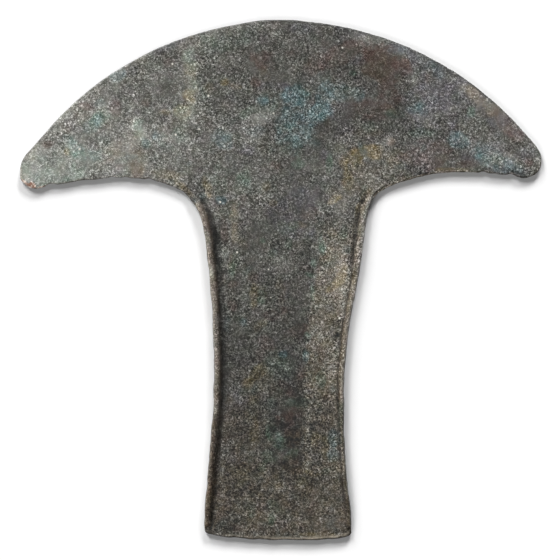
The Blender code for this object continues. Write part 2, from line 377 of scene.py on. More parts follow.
        (-24, 58, 4, 10, 0.35, 5), (-14, 30, 22, 16, 0.15), (46, 46, 7, 3.4, 0.3, 10),
        (38, 43, 7, 2.4, 0.5, -30), (36, 53.5, 3, 5.5, 0.45, 20), (43, 50, 20, 16, 0.2, 30),
        (57, 33.5, 17, 8, 0.4, -30), (52, 49.8, 7, 3.6, 0.8, -38), (61, 41, 13, 5, 0.35, -52),
        (29.5, 37, 2.8, 2.8, 0.8), (40, 34, 16, 9, 0.15), (25, 31, 16, 10, 0.25), (16.3, 1.5, 3, 8, 0.7, -10),
        (12, 8, 3, 7, 0.5, 10), (12.5, -16, 7, 11, 0.24), (12, -29, 8, 12, 0.2), (-15, 7, 4, 3, 0.35),
        (-12.5, 14, 3, 11, 0.35), (14.5, -47.5, 4, 4, 0.35), (1, -55.5, 6, 3, 0.3, 20),
        (8.9, 3.8, 1.8, 3.4, 0.55), (8.6, -3.8, 1.4, 4, 0.45, 5), (58.4, 29.1, 2, 1, 0.8),
        (19, -7, 1.5, 16, 0.3, -8), (12, -68.6, 14, 0.9, 0.5), (-57, 46, 24, 5, 0.45, 50),
        (-42, 57, 20, 5, 0.4, 38), (-20, 65.5, 24, 5, 0.4, 18), (-68.5, 30, 5, 7, 0.5),
        (-66, 34, 6, 5, 0.5, 60), (-40, 40, 6, 6, 0.4), (-31, 39, 6, 5, 0.4), (-25, 43, 5, 5, 0.35),
        (-8, 43, 5, 4, 0.35), (-44, 37.5, 5, 4, 0.3), (-26, 53, 6, 9, 0.3, 20), (-22, 62, 8, 4, 0.4, 20),
        (-3, 68.3, 8, 2, 0.4), (-20, 20, 3, 3, 0.3), (-11, 19, 4, 4, 0.3), (-4, 21.5, 4, 4, 0.3),
        (0, 4.5, 5, 6, 0.25), (14.8, 5.5, 8.5, 24, 0.3), (17, 23, 9, 7, 0.3), (65.5, 35, 6, 7, 0.3),
        (62.5, 32, 6, 4, 0.25), (11, 53, 5, 4, 0.3), (-28, 31, 7, 5, 0.3), (15, -51, 4, 5, 0.3),
        (-6, -10, 5, 4, 0.28), (-4, 58.5, 7, 5, 0.15), (-14, 30, 8, 7, 0.2), (40, 46, 7, 5, 0.2),
    ),
    Mineral.TENORITE: stains(
        (18, 56, 6, 7, 0.35), (-17.5, -67, 6, 5, 0.35), (18, -69, 4, 4, 0.4), (2, -23, 6, 11, 0.35),
        (60, 28.5, 9, 2.6, 0.35), (-36, 44, 7, 5, 0.3), (32, 41.5, 11, 4, 0.3), (-12, -20.5, 6, 11, 0.3),
        (3, 55, 7, 3, 0.3), (6, -52, 5, 5, 0.3), (10, -38, 6, 17, 0.25), (6.5, -9.5, 4, 6, 0.3),
        (-43, 48, 6, 5, 0.25), (-18, 48, 5, 5, 0.25), (34, 48, 5, 5, 0.25), (7, 8, 4, 4, 0.25),
        (-50, 37, 5, 3, 0.2), (-13, -57, 4, 5, 0.25), (26.5, 22.5, 5, 3, 0.25), (-0.5, -39.5, 4, 8, 0.25),
        (11, -20, 4, 4, 0.2), (-11, 57, 5, 4, 0.2), (-3, -16, 27, 60, 0.3), (-1, -50, 36, 42, 0.46),
        (3, -41, 5, 8, 0.45), (3, -50, 5, 5, 0.3), (7.5, 2.5, 4, 5, 0.3), (14.8, -12, 4, 3, 0.6, -45),
        (15.3, -15, 2.4, 2.4, 0.6), (0.5, 20, 9, 7, 0.25), (25, 45, 12, 6, 0.3), (13.5, 17, 3.6, 4.5, 0.45),
        # Among these, the narrow dark stains at about x -17.2, -18.7, 18.2 and 20.4, along the inner feet of
        # the margins, are painted shade in the hollow and the crevices there, with some dirt.
        (26, 57, 9, 9, 0.25), (29, 50, 9, 9, 0.25), (-17.2, 9.8, 2.4, 10.5, 1, 7),
        (-18.7, -63, 2, 9, 0.8, -4), (-20.5, 14.5, 1.8, 4, 0.4, 10), (20.4, 12, 1.4, 14, 0.45, -10),
        (18.2, 4.5, 1.2, 5, 0.35, -10), (10, 66, 18, 5, 0.2, -8), (-34, 52, 12, 8, 0.2, 20),
        (16, 44, 8, 7, 0.25), (-14, -66.5, 7, 5, 0.35), (14, -67.5, 6, 3, 0.25), (22, 31, 4, 3, 0.2),
        (6, -53, 5, 4, 0.25), (-15.3, 9, 3, 5, 0.3), (-53, 39, 5, 4, 0.25), (-0.5, -41, 5, 10, 0.25),
        (8, 7, 3.5, 5, 0.25), (4.5, -18, 8, 5, 0.25), (-13, -57, 5, 5, 0.25), (14.5, -16, 3, 4, 0.35),
        (-8, -22, 12, 7, 0.22), (20.5, 54, 8, 4, 0.2, 20), (-60, 26.5, 6, 3, 0.25), (-17, 45, 5, 5, 0.22),
        (-43.5, 33, 6, 4, 0.25), (62, 28.5, 6, 2, 0.25), (-10, 5, 4, 4, 0.22), (31, 41, 6, 4, 0.22),
        (9, 24, 5, 5, 0.2), (0.5, 20, 5, 5, 0.2), (3, -10, 8, 8, 0.2), (12.5, -34, 8, 14, 0.15),
        (-43, 44, 7, 3.5, 0.15, 45), (-35.5, 44, 4.5, 3.5, 0.12), (-33.5, 32, 3.5, 4, 0.2),
        (-15, 30.5, 6.5, 6, 0.22), (-12, 28, 4.5, 4, 0.25), (-12, 54.5, 8, 3.5, 0.15), (1, 53, 12, 4, 0.2),
        (1.5, 58.5, 6, 9, 0.12), (-1, 44, 5.5, 4, 0.22), (24, 52.5, 6, 7, 0.25), (17, 56, 6.5, 4.5, 0.18),
        (32.5, 54, 5.5, 5, 0.18), (32.5, 43, 5.5, 6, 0.18), (24, 42, 6.5, 3, 0.18), (35, 39, 12, 6, 0.15),
        (12.5, 40, 6.5, 5, 0.25), (0, 34.5, 5, 4, 0.2), (23, 21, 4.5, 3.5, 0.25), (37, 28.5, 12, 3.5, 0.15),
        (61, 27.9, 10, 2.5, 0.2), (-4, 15.5, 6, 6, 0.18), (5.5, 6.5, 8, 4.5, 0.18), (-15.5, 9, 4, 4, 0.2),
        (-9.5, 5, 7, 8, 0.12), (-14, -15, 7, 12, 0.14), (2.5, -17, 6.5, 8, 0.18), (3.5, -27, 5.5, 6, 0.2),
        (-2, -24, 5.5, 4, 0.18), (-9, -30, 5.5, 4, 0.18), (-2, -37, 5.5, 8, 0.18), (-14, -45, 6.5, 4.5, 0.15),
        (4.7, -40, 2.8, 28, 0.28), (6, -53, 6.5, 5, 0.25), (-13, -65, 8, 6, 0.4), (-16, -55, 5.5, 6, 0.15),
        (17.5, -68, 6.5, 4, 0.3), (18, -27, 3, 11, 0.3), (2, -70, 20, 4, 0.15), (-61.5, 33, 9, 4, 0.2, 45),
        (16, -69.5, 5.5, 2.5, 0.3, 10), (-19, -66.5, 2.5, 4.5, 0.35), (-44.5, 50, 5.5, 4, 0.2),
        (-37.5, 49.5, 3.5, 3.5, 0.2), (-25.5, 53, 3.5, 4.5, 0.3), (-21, 27, 3.5, 3.5, 0.22),
        (-17, 21.5, 4.5, 4.5, 0.28), (48, 47, 5.5, 3.5, 0.22), (19.5, 58, 5.5, 5, 0.18),
        (9, 61, 6.5, 5, 0.15), (4, 59, 4.5, 3.5, 0.18), (23, 30.5, 6.5, 3.5, 0.18),
        (30.5, 41, 5.5, 3.5, 0.18), (-11, 38.5, 5.5, 4.5, 0.16), (16, 13.5, 4, 3.5, 0.3),
        (-50, 37, 6.5, 5, 0.14), (-23, 65.5, 9, 4, 0.15, 20), (9, -50, 6, 8, 0.12),
    ),
    Mineral.SMOOTH: stains(
        (27.5, 55, 16, 14, 0.8, 60), (27, 46, 12, 7, 0.75), (20, 46, 9, 6, 0.8, 30),
        (13, 40.5, 11, 5, 0.7, 45), (7, 31, 9, 12, 0.75, -15), (6, 22, 10, 9, 0.8), (-1, 15, 12, 9, 0.5, 40),
        (-6.5, 8, 6, 14, 0.8), (5, -10, 4, 10, 0.8), (2.5, -22, 4, 10, 0.7), (2.5, -38, 5, 18, 0.9),
        (1, -47, 8, 8, 0.7), (-12, -17, 7, 15, 0.6), (-16, -28, 5, 12, 0.6), (-5, 57, 8, 5, 0.8),
        (0.5, 54, 11, 5, 0.8), (-29.5, 52, 9, 7, 0.7), (-47, 50, 9, 6, 0.6, 30), (59, 41, 16, 6, 0.8, -50),
        (47.5, 31.5, 16, 5, 0.7), (-40, 32, 10, 5, 0.4), (13.5, -65.5, 10, 4, 0.7), (16, 62, 12, 5, 0.6, -15),
        (-8, -44, 7, 9, 0.4), (0, 66, 60, 8, 0.2), (12, -54.5, 5, 4, 0.5), (21, 33.3, 7, 3.5, 0.8, 25),
        (1.5, -40, 9, 24, 0.6), (-1.5, -43.5, 5, 9, 0.6), (0, -12, 30, 30, 0.15), (-62, 41, 16, 5, 0.3, 42),
    ),
    Mineral.BARE: stains(
        (-68.6, 26, 3.6, 0.9, 0.9, -38), (-66.7, 25.4, 2.4, 1.9, 1, -40), (-64.2, 24.8, 4.5, 0.8, 0.8, 6),
    ),
    Mineral.CHALK: stains(
        (-67, 34.5, 6, 4, 0.5, 45), (-64.5, 26.5, 8, 4.5, 0.5, 20), (-66.3, 29.5, 5.5, 8, 0.6),
        (-58, 28, 9, 3, 0.25), (-55, 34.5, 5, 5, 0.55), (-61, 38.5, 8, 4, 0.35, 40),
        (-51, 48, 12, 5.5, 0.8, 55), (-47.5, 50.5, 5, 9, 0.5), (-46.5, 45, 8, 4.5, 0.45),
        (-36.5, 31.5, 5.5, 7, 0.4), (-30.5, 46.5, 7, 3.5, 0.35, 35), (-22, 55.5, 3.5, 5, 0.35),
        (-8, 27, 4, 7, 0.3), (6.5, 65.5, 14, 4, 0.25), (44, 44.5, 5.5, 5, 0.3), (50.5, 38, 5, 8, 0.3),
        (63, 39.5, 9, 3.5, 0.4, -55), (-49.5, 43, 3.5, 4.5, 0.6), (-40, 54.5, 6, 3.5, 0.35, 30),
        (-32.5, 54.5, 4.5, 5, 0.4), (-45, 36, 8, 8, 0.45), (-38.7, 38, 5.5, 10, 0.7), (-31, 37.5, 12, 5, 0.4),
        (-25, 35, 5, 6, 0.3), (-25, 28.5, 3.5, 5, 0.3), (-28, 48.5, 4.5, 5, 0.4), (-24, 45.5, 7, 9, 0.45),
        (-23.5, 57, 5.5, 9, 0.5), (-18, 59, 9, 5, 0.5), (-14, 64, 5.5, 4.5, 0.45), (-9.5, 63.5, 4, 4, 0.2),
        (-9, 44.5, 8, 7, 0.3), (-2, 66.5, 4.5, 4, 0.4), (6.5, 67, 7, 5, 0.3), (-2, 60.5, 3, 4, 0.2),
        (-12, 51, 6, 3, 0.25), (-8, 36, 5.5, 5.5, 0.5), (-13.5, 36.5, 8, 4, 0.25),
        (-19, 22.5, 4, 10, 0.6, -15), (-16, 17, 5, 4.5, 0.35), (-12.5, 20.5, 8, 7, 0.35),
        (-3, 21, 5.5, 4, 0.35), (1.5, 22.5, 4.5, 3.5, 0.3), (-3, 29.5, 6, 5, 0.25), (12, 60, 4.5, 5, 0.35),
        (22.5, 63.5, 5, 4, 0.4), (30, 61, 10, 5, 0.45, -15), (36.5, 57.5, 7, 4.5, 0.5, -20),
        (13, 48, 8, 9, 0.3), (9.5, 44.5, 5.5, 4, 0.35), (27, 45.5, 9, 3.5, 0.2), (49.5, 52, 7, 4.5, 0.5, -30),
        (57, 46.5, 5, 4.5, 0.35), (53, 41.5, 5, 7, 0.35), (44, 45, 7, 5, 0.25), (59, 39, 9, 9, 0.25),
        (38, 33, 5.5, 5, 0.45), (49, 30, 6, 3.5, 0.25), (61, 32.5, 4.5, 5.5, 0.35), (66, 31, 4.5, 4, 0.4),
        (24, 26.5, 9, 5.5, 0.5), (3, 39.5, 6.5, 5, 0.25), (19, 37.5, 5.5, 3.5, 0.2), (13, 18.5, 3.5, 6, 0.35),
        (16.6, 2, 5, 14, 0.75, -5), (12.5, -4.5, 6, 7, 0.2), (6, 14, 11, 6.5, 0.28),
        (-2, 6, 4.5, 5, 0.45, -30), (8, 1, 3.5, 3, 0.4), (20, 10, 4, 8, 0.3), (2.2, 1.8, 4.5, 4.5, 0.35),
        (-15, 5, 3.5, 3.5, 0.35), (-16.5, -4, 3, 9, 0.25), (-9, -2.5, 4.5, 5, 0.4), (-5.5, -8, 6, 6, 0.25),
        (-4.5, -17, 4.5, 8, 0.45), (10, -13, 4.5, 8.5, 0.4), (14, -24, 4.5, 6, 0.4, -20),
        (8.3, -28, 4, 4.5, 0.45), (8, -40, 2.6, 27, 0.5), (-4.5, -28.5, 4.5, 3.5, 0.25),
        (-12, -39, 10, 4.5, 0.2), (0.5, -47, 4, 4.5, 0.35), (14.5, -45, 3.5, 4, 0.3),
        (15, -51, 3.5, 3.5, 0.3), (11, -56, 9, 3.5, 0.25, 45), (-7.5, -56, 5, 6, 0.4),
        (1.5, -56, 4, 7, 0.45, 20), (-3, -62.5, 5.5, 5.5, 0.5), (4.5, -65, 4.5, 4, 0.45),
        (16, -63, 4.5, 4, 0.35), (-16, -59, 6, 3.5, 0.3), (-61, 40.5, 14, 4, 0.4, 42),
        (-37.5, 56, 6.5, 4, 0.25), (-8.5, 48, 4.5, 3.5, 0.28), (-4.5, 54, 4.5, 3.5, 0.22),
        (6, 56, 4.5, 3.5, 0.22), (-2, 63, 3.5, 4.5, 0.22), (-29, 33.5, 4.5, 5, 0.25), (-26, 28, 6.5, 6, 0.22),
        (-52, 28.5, 5.5, 3.5, 0.35), (-58, 28, 5.5, 3.5, 0.3), (16.5, 34, 3.5, 8, 0.22),
        (41.5, 55, 5.5, 4, 0.22), (37, 33, 6.5, 5, 0.22), (42, 35, 5.5, 4.5, 0.18),
        (40, 41.5, 4.5, 3.5, 0.22), (-1.5, 19.5, 5.5, 4.5, 0.22), (13, 20, 3, 5.5, 0.2),
        (19, 17, 3.5, 3.5, 0.22), (28, 27.5, 4.5, 4.5, 0.2), (-44.5, 35, 4.5, 5.5, 0.22),
        (-68.5, 30.5, 4, 6, 0.35), (-66, 34, 10, 8, 0.4, 45), (-45, 54, 9, 5, 0.25, 45),
        (-68, 27.5, 6, 5, 0.55), (22, 11, 4, 9, 0.35, -10), (-23.5, 20.5, 3, 6, 0.35, 30),
        (-18, -8, 3.5, 10, 0.25),
    ),
}

# The patches on the back, which are fewer and broader.
BACK: dict[Mineral, tuple[Stain, ...]] = {
    Mineral.SMOOTH: stains(
        (0, 46, 130, 44, 0.55), (0, -20, 38, 100, 0.55), (24, 40, 36, 20, 0.5, 20), (-4, -12, 22, 36, 0.5),
    ),
    Mineral.BLOOM: stains(
        (-42, 42, 44, 20, 0.5, 30), (34, 52, 34, 14, 0.4, -22), (-2, -52, 30, 24, 0.35),
        (60, 34, 18, 12, 0.4, -30),
    ),
    Mineral.CUPRITE: stains(
        (22, 36, 34, 18, 0.8, 20), (-5, -10, 20, 34, 0.7), (-56, 36, 18, 8, 0.6, 40),
    ),
    Mineral.EARTH: stains(
        (-20, 56, 40, 12, 0.6, 10), (4, -46, 26, 32, 0.7), (42, 36, 22, 10, 0.5, -10),
    ),
    Mineral.MALACHITE: stains(
        (-12, 32, 26, 15, 0.6), (52, 40, 20, 9, 0.6, -35), (-6, -62, 14, 8, 0.5),
    ),
    Mineral.VERDIGRIS: stains(
        (8, -28, 9, 13, 0.5), (-32, 44, 14, 8, 0.5, 20),
    ),
    Mineral.TENORITE: stains(
        (8, 58, 36, 12, 0.4), (-8, 2, 22, 30, 0.35), (-30, 33, 22, 8, 0.3),
    ),
}

# How many small faint stains of each mineral are strewn over each face.
STREWN = {
    Mineral.BLOOM: 90, Mineral.EARTH: 60, Mineral.CUPRITE: 60, Mineral.MALACHITE: 50,
    Mineral.VERDIGRIS: 25, Mineral.OCHRE: 40, Mineral.TENORITE: 60, Mineral.SULPHIDE: 40,
}

# The edge of the rubbed strip beside the right margin, as (y, x).
STRIP_EDGE = ((11.9, 11.3), (0.6, 9.6), (-5.6, 8.3), (-17.7, 6.7), (-51.3, 6.1))

DENTS = (
    Dent(-16.4, 10.5, 9.5, 3.4, 97.0, 0.50),
    Dent(-15.4, 6.0, 3.5, 2.6, 0.0, -0.22),
    Dent(19.8, 0.8, 3.2, 1.4, 80.0, 0.45),
)

NICKS = (
    Nick(-61.6, 24.4, 2.2, 0.9),
    Nick(-45.5, 27.2, 1.6, 0.35),
    Nick(-41.5, 27.4, 1.4, 0.30),
    Nick(-35.3, 26.9, 1.5, 0.40),
    Nick(54.5, 28.7, 1.6, 0.45),
    Nick(62.0, 28.0, 1.8, 0.50),
)


@dataclass(frozen=True)
class Rim:
    """The outline of the sheet at half its thickness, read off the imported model.

    Attributes:
        tree: finds the outline point nearest to a place.
        inward: the direction into the sheet at each outline point, as x and y.
        raised: how far the margin stands up at each outline point, from 0 to 1.
    """

    tree: KDTree
    inward: np.ndarray
    raised: np.ndarray

    @classmethod
    def read(cls, node: bpy.types.Object, thickness: float, height: float) -> "Rim":
        """Slices the model at half the sheet's thickness and samples the cut.

        Args:
            node: the CAD node's object.
            thickness: of the sheet, in millimetres.
            height: of the tallest margin's top above the back, in millimetres.

        Returns:
            The rim.
        """
        shape = bmesh.new()
        shape.from_mesh(node.data)
        surface = BVHTree.FromBMesh(shape)
        everything = shape.verts[:] + shape.edges[:] + shape.faces[:]
        middle = Vector((0.0, 0.0, thickness / 2 * MM))
        bmesh.ops.bisect_plane(shape, geom=everything, plane_co=middle, plane_no=(0.0, 0.0, 1.0),
                               clear_inner=True, clear_outer=True)
        points = []
        for edge in shape.edges:
            start, end = (vertex.co for vertex in edge.verts)
            count = max(1, math.ceil((end - start).length / (RIM_STEP * MM)))
            points += [start.lerp(end, i / count) for i in range(count)]
        shape.free()
        tree = KDTree(len(points))
        inward, raised = [], []
        for i, point in enumerate(points):
            tree.insert((point.x / MM, point.y / MM, 0.0), i)
            outward = surface.find_nearest(point)[1]
            into = Vector((-outward.x, -outward.y, 0.0)).normalized()
            inward.append((into.x, into.y))
            eye = point + into * RIM_PROBE * MM
            eye.z = RIM_ABOVE * MM
            hit = surface.ray_cast(eye, Vector((0.0, 0.0, -1.0)))[0]
            top = thickness if hit is None else hit.z / MM
            raised.append((top - thickness) / (height - thickness))
        tree.balance()
        return cls(tree, np.array(inward), np.clip(np.array(raised), 0.0, 1.0))

    def nearest(self, places: np.ndarray) -> tuple[np.ndarray, np.ndarray]:
        """Finds each place's nearest outline point.

        Args:
            places: the places in millimetres, one row each.

        Returns:
            The distance in the plane, in millimetres, and the number of the outline point.
        """
        found = [self.tree.find((x, y, 0.0)) for x, y, _ in places]
        return np.array([f[2] for f in found]), np.array([f[1] for f in found])


def add_node(tree: Tree, kind: str, settings: dict[Any, Any] | None = None,
             links: dict[Any, Socket] | None = None) -> bpy.types.Node:
    """Adds a shader node with its settings and links.

    Args:
        tree: the node tree that it joins.
        kind: the node's type, without the leading ShaderNode.
        settings: values by property name, or by the name or number of an input.
        links: output sockets by the name or number of the input that each feeds.

    Returns:
        The node.
    """
    node = tree.nodes.new("ShaderNode" + kind)
    for key, value in (settings or {}).items():
        if isinstance(key, int) or key in node.inputs:
            node.inputs[key].default_value = value
        else:
            setattr(node, key, value)
    for key, socket in (links or {}).items():
        tree.links.new(socket, node.inputs[key])
    return node


@dataclass(frozen=True)
class Layer:
    """One mineral as a finish: its colour, the size of its grains and how much it can hide."""

    mineral: Mineral
    colour: str
    grain: float
    cover: float


@dataclass(frozen=True)
class Band:
    """One line of a margin's section: its distance in from the rim, its colour and how much it hides."""

    inset: float
    colour: str
    cover: float


def section(*rows: tuple[float, str, float]) -> tuple[Band, ...]:
    """The bands of a section, from rows of distance, colour and cover."""
    return tuple(Band(*row) for row in rows)


@dataclass(frozen=True)
class Margin:
    """One stretch of a raised margin: its side, where it starts and ends along Y, and the lines along it."""

    name: str
    right: bool
    low: float
    high: float
    bands: tuple[Band, ...]

    def mask(self, places: np.ndarray) -> np.ndarray:
        """How far each place belongs to the stretch.

        Args:
            places: the places in millimetres, one row each.

        Returns:
            One value a place, from 0 to 1.
        """
        side = (places[:, 0] > 0.0) == self.right
        start = smoothstep(self.low - MARGIN_FADE, self.low + MARGIN_FADE, places[:, 1])
        end = smoothstep(self.high + MARGIN_FADE, self.high - MARGIN_FADE, places[:, 1])
        return side * start * end


# The sections along the margins, from the rim inwards. Their pale lines near the rim are partly the margins'
# colour and partly painted highlight on the margins' tops and outer sides. On the high right, the outermost
# line is painted light on the outer side. Their dark lines further in are painted shadow of the margins and
# painted shade in the troughs and crevices beside them, with some dirt in the crevices.
MARGINS = (
    Margin("left_high", False, -36.0, 60.0, section(
        (0, "#8a8880", 0.8), (0.35, "#a59c90", 0.8), (0.75, "#92877b", 0.8), (1.3, "#7d7266", 0.8),
        (1.65, "#584c41", 0.85), (2.05, "#2f2922", 0.9), (2.35, "#1c1a17", 0.9), (2.9, "#1e1d1a", 0.85),
        (3.4, "#22221f", 0.6), (3.9, "#22221f", 0.25), (4.5, "#22221f", 0),
    )),
    Margin("left_low", False, -80.0, -36.0, section(
        (0, "#7d6a54", 0.8), (0.3, "#73614a", 0.75), (0.7, "#5c4936", 0.75), (1.3, "#4d4136", 0.8),
        (1.75, "#40382f", 0.85), (2.15, "#2f2922", 0.9), (2.55, "#28231d", 0.85), (3, "#28231d", 0.45),
        (3.5, "#28231d", 0),
    )),
    Margin("right_high", True, 3.0, 60.0, section(
        (0, "#c9c9c4", 0.9), (0.4, "#a2a09a", 0.85), (0.85, "#918d84", 0.85), (1.3, "#958c7e", 0.85),
        (1.7, "#83796a", 0.85), (2, "#4a4136", 0.85), (2.3, "#29241d", 0.9), (2.8, "#302920", 0.75),
        (3.4, "#3a3024", 0),
    )),
    Margin("right_middle", True, -34.0, 3.0, section(
        (0, "#99938a", 0.85), (0.45, "#8d8577", 0.85), (0.95, "#857c6c", 0.85), (1.35, "#706450", 0.85),
        (1.6, "#453c31", 0.85), (1.85, "#29241d", 0.9), (2.1, "#3a3024", 0.45), (2.4, "#3a3024", 0),
    )),
    Margin("right_low", True, -80.0, -34.0, section(
        (0, "#4a4741", 0.8), (0.3, "#676051", 0.8), (0.7, "#6c6452", 0.8), (1.05, "#5a5247", 0.8),
        (1.4, "#38312a", 0.85), (1.75, "#38312a", 0.6), (2.2, "#38312a", 0),
    )),
)


@dataclass(frozen=True)
class PatinatedCopper:
    """Buried hammered copper: dark oxide with a mineral crust, matt and finely granular to the eye.

    The oxide is a dull grey-green brown. Crystals of carbonate and soil grow through it as grains of about
    half a millimetre, so every colour here is broken up at that size. Real crust has finer grains too, which
    are left out. The copper itself shows only at a chip. Some colours are painted light and shade: the
    highlight along the rim, the butt's light line, parts of the margins' lines and the glints in the chip.

    Sizes are in millimetres. A range says which values of a pattern give nothing and all of what it leads.
    """

    ground: str = "#605f59"
    layers: tuple[Layer, ...] = (
        Layer(Mineral.BLOOM, "#b0b0a6", 1.2, 0.30),
        Layer(Mineral.SULPHIDE, "#626064", 2.6, 0.80),
        Layer(Mineral.CUPRITE, "#5a4841", 2.4, 0.75),
        Layer(Mineral.EARTH, "#6c614e", 2.0, 0.75),
        Layer(Mineral.OCHRE, "#7c6e4b", 2.0, 0.64),
        Layer(Mineral.MALACHITE, "#566d5d", 2.2, 0.65),
        Layer(Mineral.VERDIGRIS, "#577477", 2.0, 0.66),
        Layer(Mineral.TENORITE, "#191a17", 1.8, 0.95),
    )
    margins: tuple[Margin, ...] = MARGINS
    edge: tuple[Band, ...] = section(
        (0, "#12120f", 0.85), (0.3, "#1c1c19", 0.7), (0.55, "#1c1c19", 0.35), (0.85, "#1c1c19", 0),
    )
    # A painted highlight along the rim where it turns away from the lamps: under the horns and on top of the
    # margins.
    rim_highlight: tuple[Band, ...] = section(
        (0, "#b3a99a", 0.75), (0.35, "#b3a99a", 0.85), (0.65, "#a39886", 0),
    )
    # A dark outline at the butt's very edge, then a painted light line on its rounded rim, which faces away
    # from the lamps.
    butt: tuple[Band, ...] = section(
        (0, "#3d3831", 0.7), (0.3, "#6f675b", 0.7), (0.55, "#aba190", 0.75), (0.85, "#aba190", 0.3),
        (1.2, "#aba190", 0),
    )
    # How each mineral grows: from the least to the most of its cover, each from another cloud.
    growth_range: Pair = (0.32, 0.68)
    growth: Pair = (0.4, 1.6)
    growth_step: float = 3.7
    # The lines along the rim waver, and are broken here and there.
    wobble: float = 1.6
    gap: float = 2.2
    gap_range: Pair = (0.38, 0.56)
    gap_cover: Pair = (0.5, 1.0)
    # The grains: a rough ground, and rounded crystals on it, of which only a few are large.
    grain: float = 0.45
    grain_bend: float = 0.9
    grain_range: Pair = (0.24, 0.78)
    grain_power: float = 2.9
    crystal: float = 0.50
    crystal_range: Pair = (0.42, 0.12)
    crystal_power: float = 3.0
    crystal_share: float = 0.40
    # How light a grain is for its height, and how light the gaps between grains are.
    grain_light: float = 3.9
    gap_light: float = 0.02
    # Clumps where the gaps are filled, so that the light is even there, and what else fills or opens them.
    clump: float = 4.5
    clump_range: Pair = (0.3, 0.65)
    clump_fill: Pair = (-0.04, 0.35)
    fills: tuple[tuple[str, float], ...] = (
        ("bloom", 0.47), ("smooth", 0.38), ("tenorite", -0.25), ("strip", -0.18),
    )
    fill_light: float = 0.64
    # Broad clouds, and what the pale crusts add to the light.
    cloud: float = 7.0
    cloud_range: Pair = (0.3, 0.7)
    cloud_light: Pair = (0.8, 1.2)
    bloom_light: float = 0.92
    chalk_light: float = 0.9
    # The hue varies over a few millimetres, and dark grains are the more vivid.
    hue_grain: float = 3.0
    hue_share: float = 0.125
    vivid_power: float = -0.42
    vivid_share: float = 0.83
    vivid_most: float = 1.6
    # Single crystals of calcite: how far apart, on which cells of a pattern, and how soft their outline is.
    calcite_colour: str = "#cfccc2"
    calcite_size: float = 0.55
    calcite_gap: float = 4.5
    calcite_above: float = 0.62
    calcite_edge: Pair = (1.3, 0.7)
    # A chip, with its ragged outline, its painted glints of near-white colour, and how glossy and metallic its
    # dull metal is.
    glint_colour: str = "#fff0e2"
    chip_colour: str = "#8a6a5b"
    chip_ragged: float = 1.0
    chip_range: Pair = (0.85, 1.15)
    chip_gloss: float = 0.3
    chip_metal: float = 0.15
    glint: float = 0.9
    glint_range: Pair = (0.42, 0.6)
    # The crust's own gloss and relief.
    roughness: Pair = (0.58, 0.82)
    specular: float = 0.4
    bump: float = 0.05
    bump_strength: float = 0.8

    def material(self) -> bpy.types.Material:
        """Builds the finish.

        Returns:
            A material that reads the masks which AxeMoney paints on its mesh.
        """
        made = bpy.data.materials.new("patinated_hammered_copper")
        made.use_nodes = True
        tree = made.node_tree
        tree.nodes.clear()
        where = add_node(tree, "TexCoord").outputs["Object"]
        grain = self._grains(tree, where)
        colour = self._minerals(tree, where)
        lines = {margin.name: margin.bands for margin in self.margins}
        # Parts of the margins' lines, and the whole of the rim's highlight, are painted light and shade.
        colour = self._lines(tree, where, colour, lines | {"rim_highlight": self.rim_highlight})
        colour = self._speckle(tree, where, colour, grain)
        colour = self._lines(tree, where, colour, {"edge": self.edge, "butt": self.butt})
        self._shade(tree, where, colour, grain)
        return made

    def _uneven(self, tree: Tree, where: Socket, size: float, look: dict[str, Any], spread: Pair,
                ends: Pair = (0.0, 1.0)) -> Socket:
        """Noise whose middle values are spread out, which mottles what it leads.

        Args:
            tree: the material's nodes.
            where: coordinates in metres.
            size: millimetres between the largest swells.
            look: the noise's other settings.
            spread: the noise's values that give the first and the last of ends.
            ends: what comes out at the least and at the most.

        Returns:
            A value between the two ends.
        """
        cloud = add_node(
            tree, "TexNoise", {"Scale": per_metre(size)} | look, {"Vector": where}
        ).outputs["Fac"]
        return add_node(
            tree, "MapRange", dict(zip(FROM + TO, spread + ends)), {"Value": cloud}
        ).outputs["Result"]

    def _grains(self, tree: Tree, where: Socket) -> Socket:
        """The fine crust as a height: a rough ground with rounded crystals of unlike size on it.

        Args:
            tree: the material's nodes.
            where: coordinates in metres.

        Returns:
            A value from 0 to 1.
        """
        look = {"Detail": 1.0, "Roughness": 0.5, "Distortion": self.grain_bend}
        cloud = self._uneven(tree, where, self.grain, look, self.grain_range)
        cloud = add_node(tree, "Math", {"operation": "POWER", 1: self.grain_power}, {0: cloud}).outputs[0]
        cell = add_node(tree, "TexVoronoi", {"Scale": per_metre(self.crystal)}, {"Vector": where})
        round_top = add_node(
            tree, "MapRange", dict(zip(FROM, self.crystal_range)), {"Value": cell.outputs["Distance"]}
        ).outputs["Result"]
        large = add_node(tree, "SeparateColor", links={"Color": cell.outputs["Color"]}).outputs["Red"]
        large = add_node(tree, "Math", {"operation": "POWER", 1: self.crystal_power}, {0: large}).outputs[0]
        crystal = add_node(tree, "Math", {"operation": "MULTIPLY"}, {0: round_top, 1: large}).outputs[0]
        return add_node(
            tree, "Math", {"operation": "MULTIPLY_ADD", "use_clamp": True, 1: self.crystal_share},
            {0: crystal, 2: cloud},
        ).outputs[0]

    def _mix(self, tree: Tree, below: Any, above: Any, factor: Socket) -> Socket:
        """Lays one colour over another.

        Args:
            tree: the material's nodes.
            below: the colour so far, as a socket or as a linear colour.
            above: the new colour, as a socket or as a linear colour.
            factor: how much of the new colour shows.

        Returns:
            The mixed colour.
        """
        links: dict[Any, Any] = {MIX_FACTOR: factor}
        settings: dict[Any, Any] = {"data_type": "RGBA"}
        for number, colour in ((MIX_BELOW, below), (MIX_ABOVE, above)):
            kept = links if isinstance(colour, Socket) else settings
            kept[number] = colour
        return add_node(tree, "Mix", settings, links).outputs[MIX_RESULT]

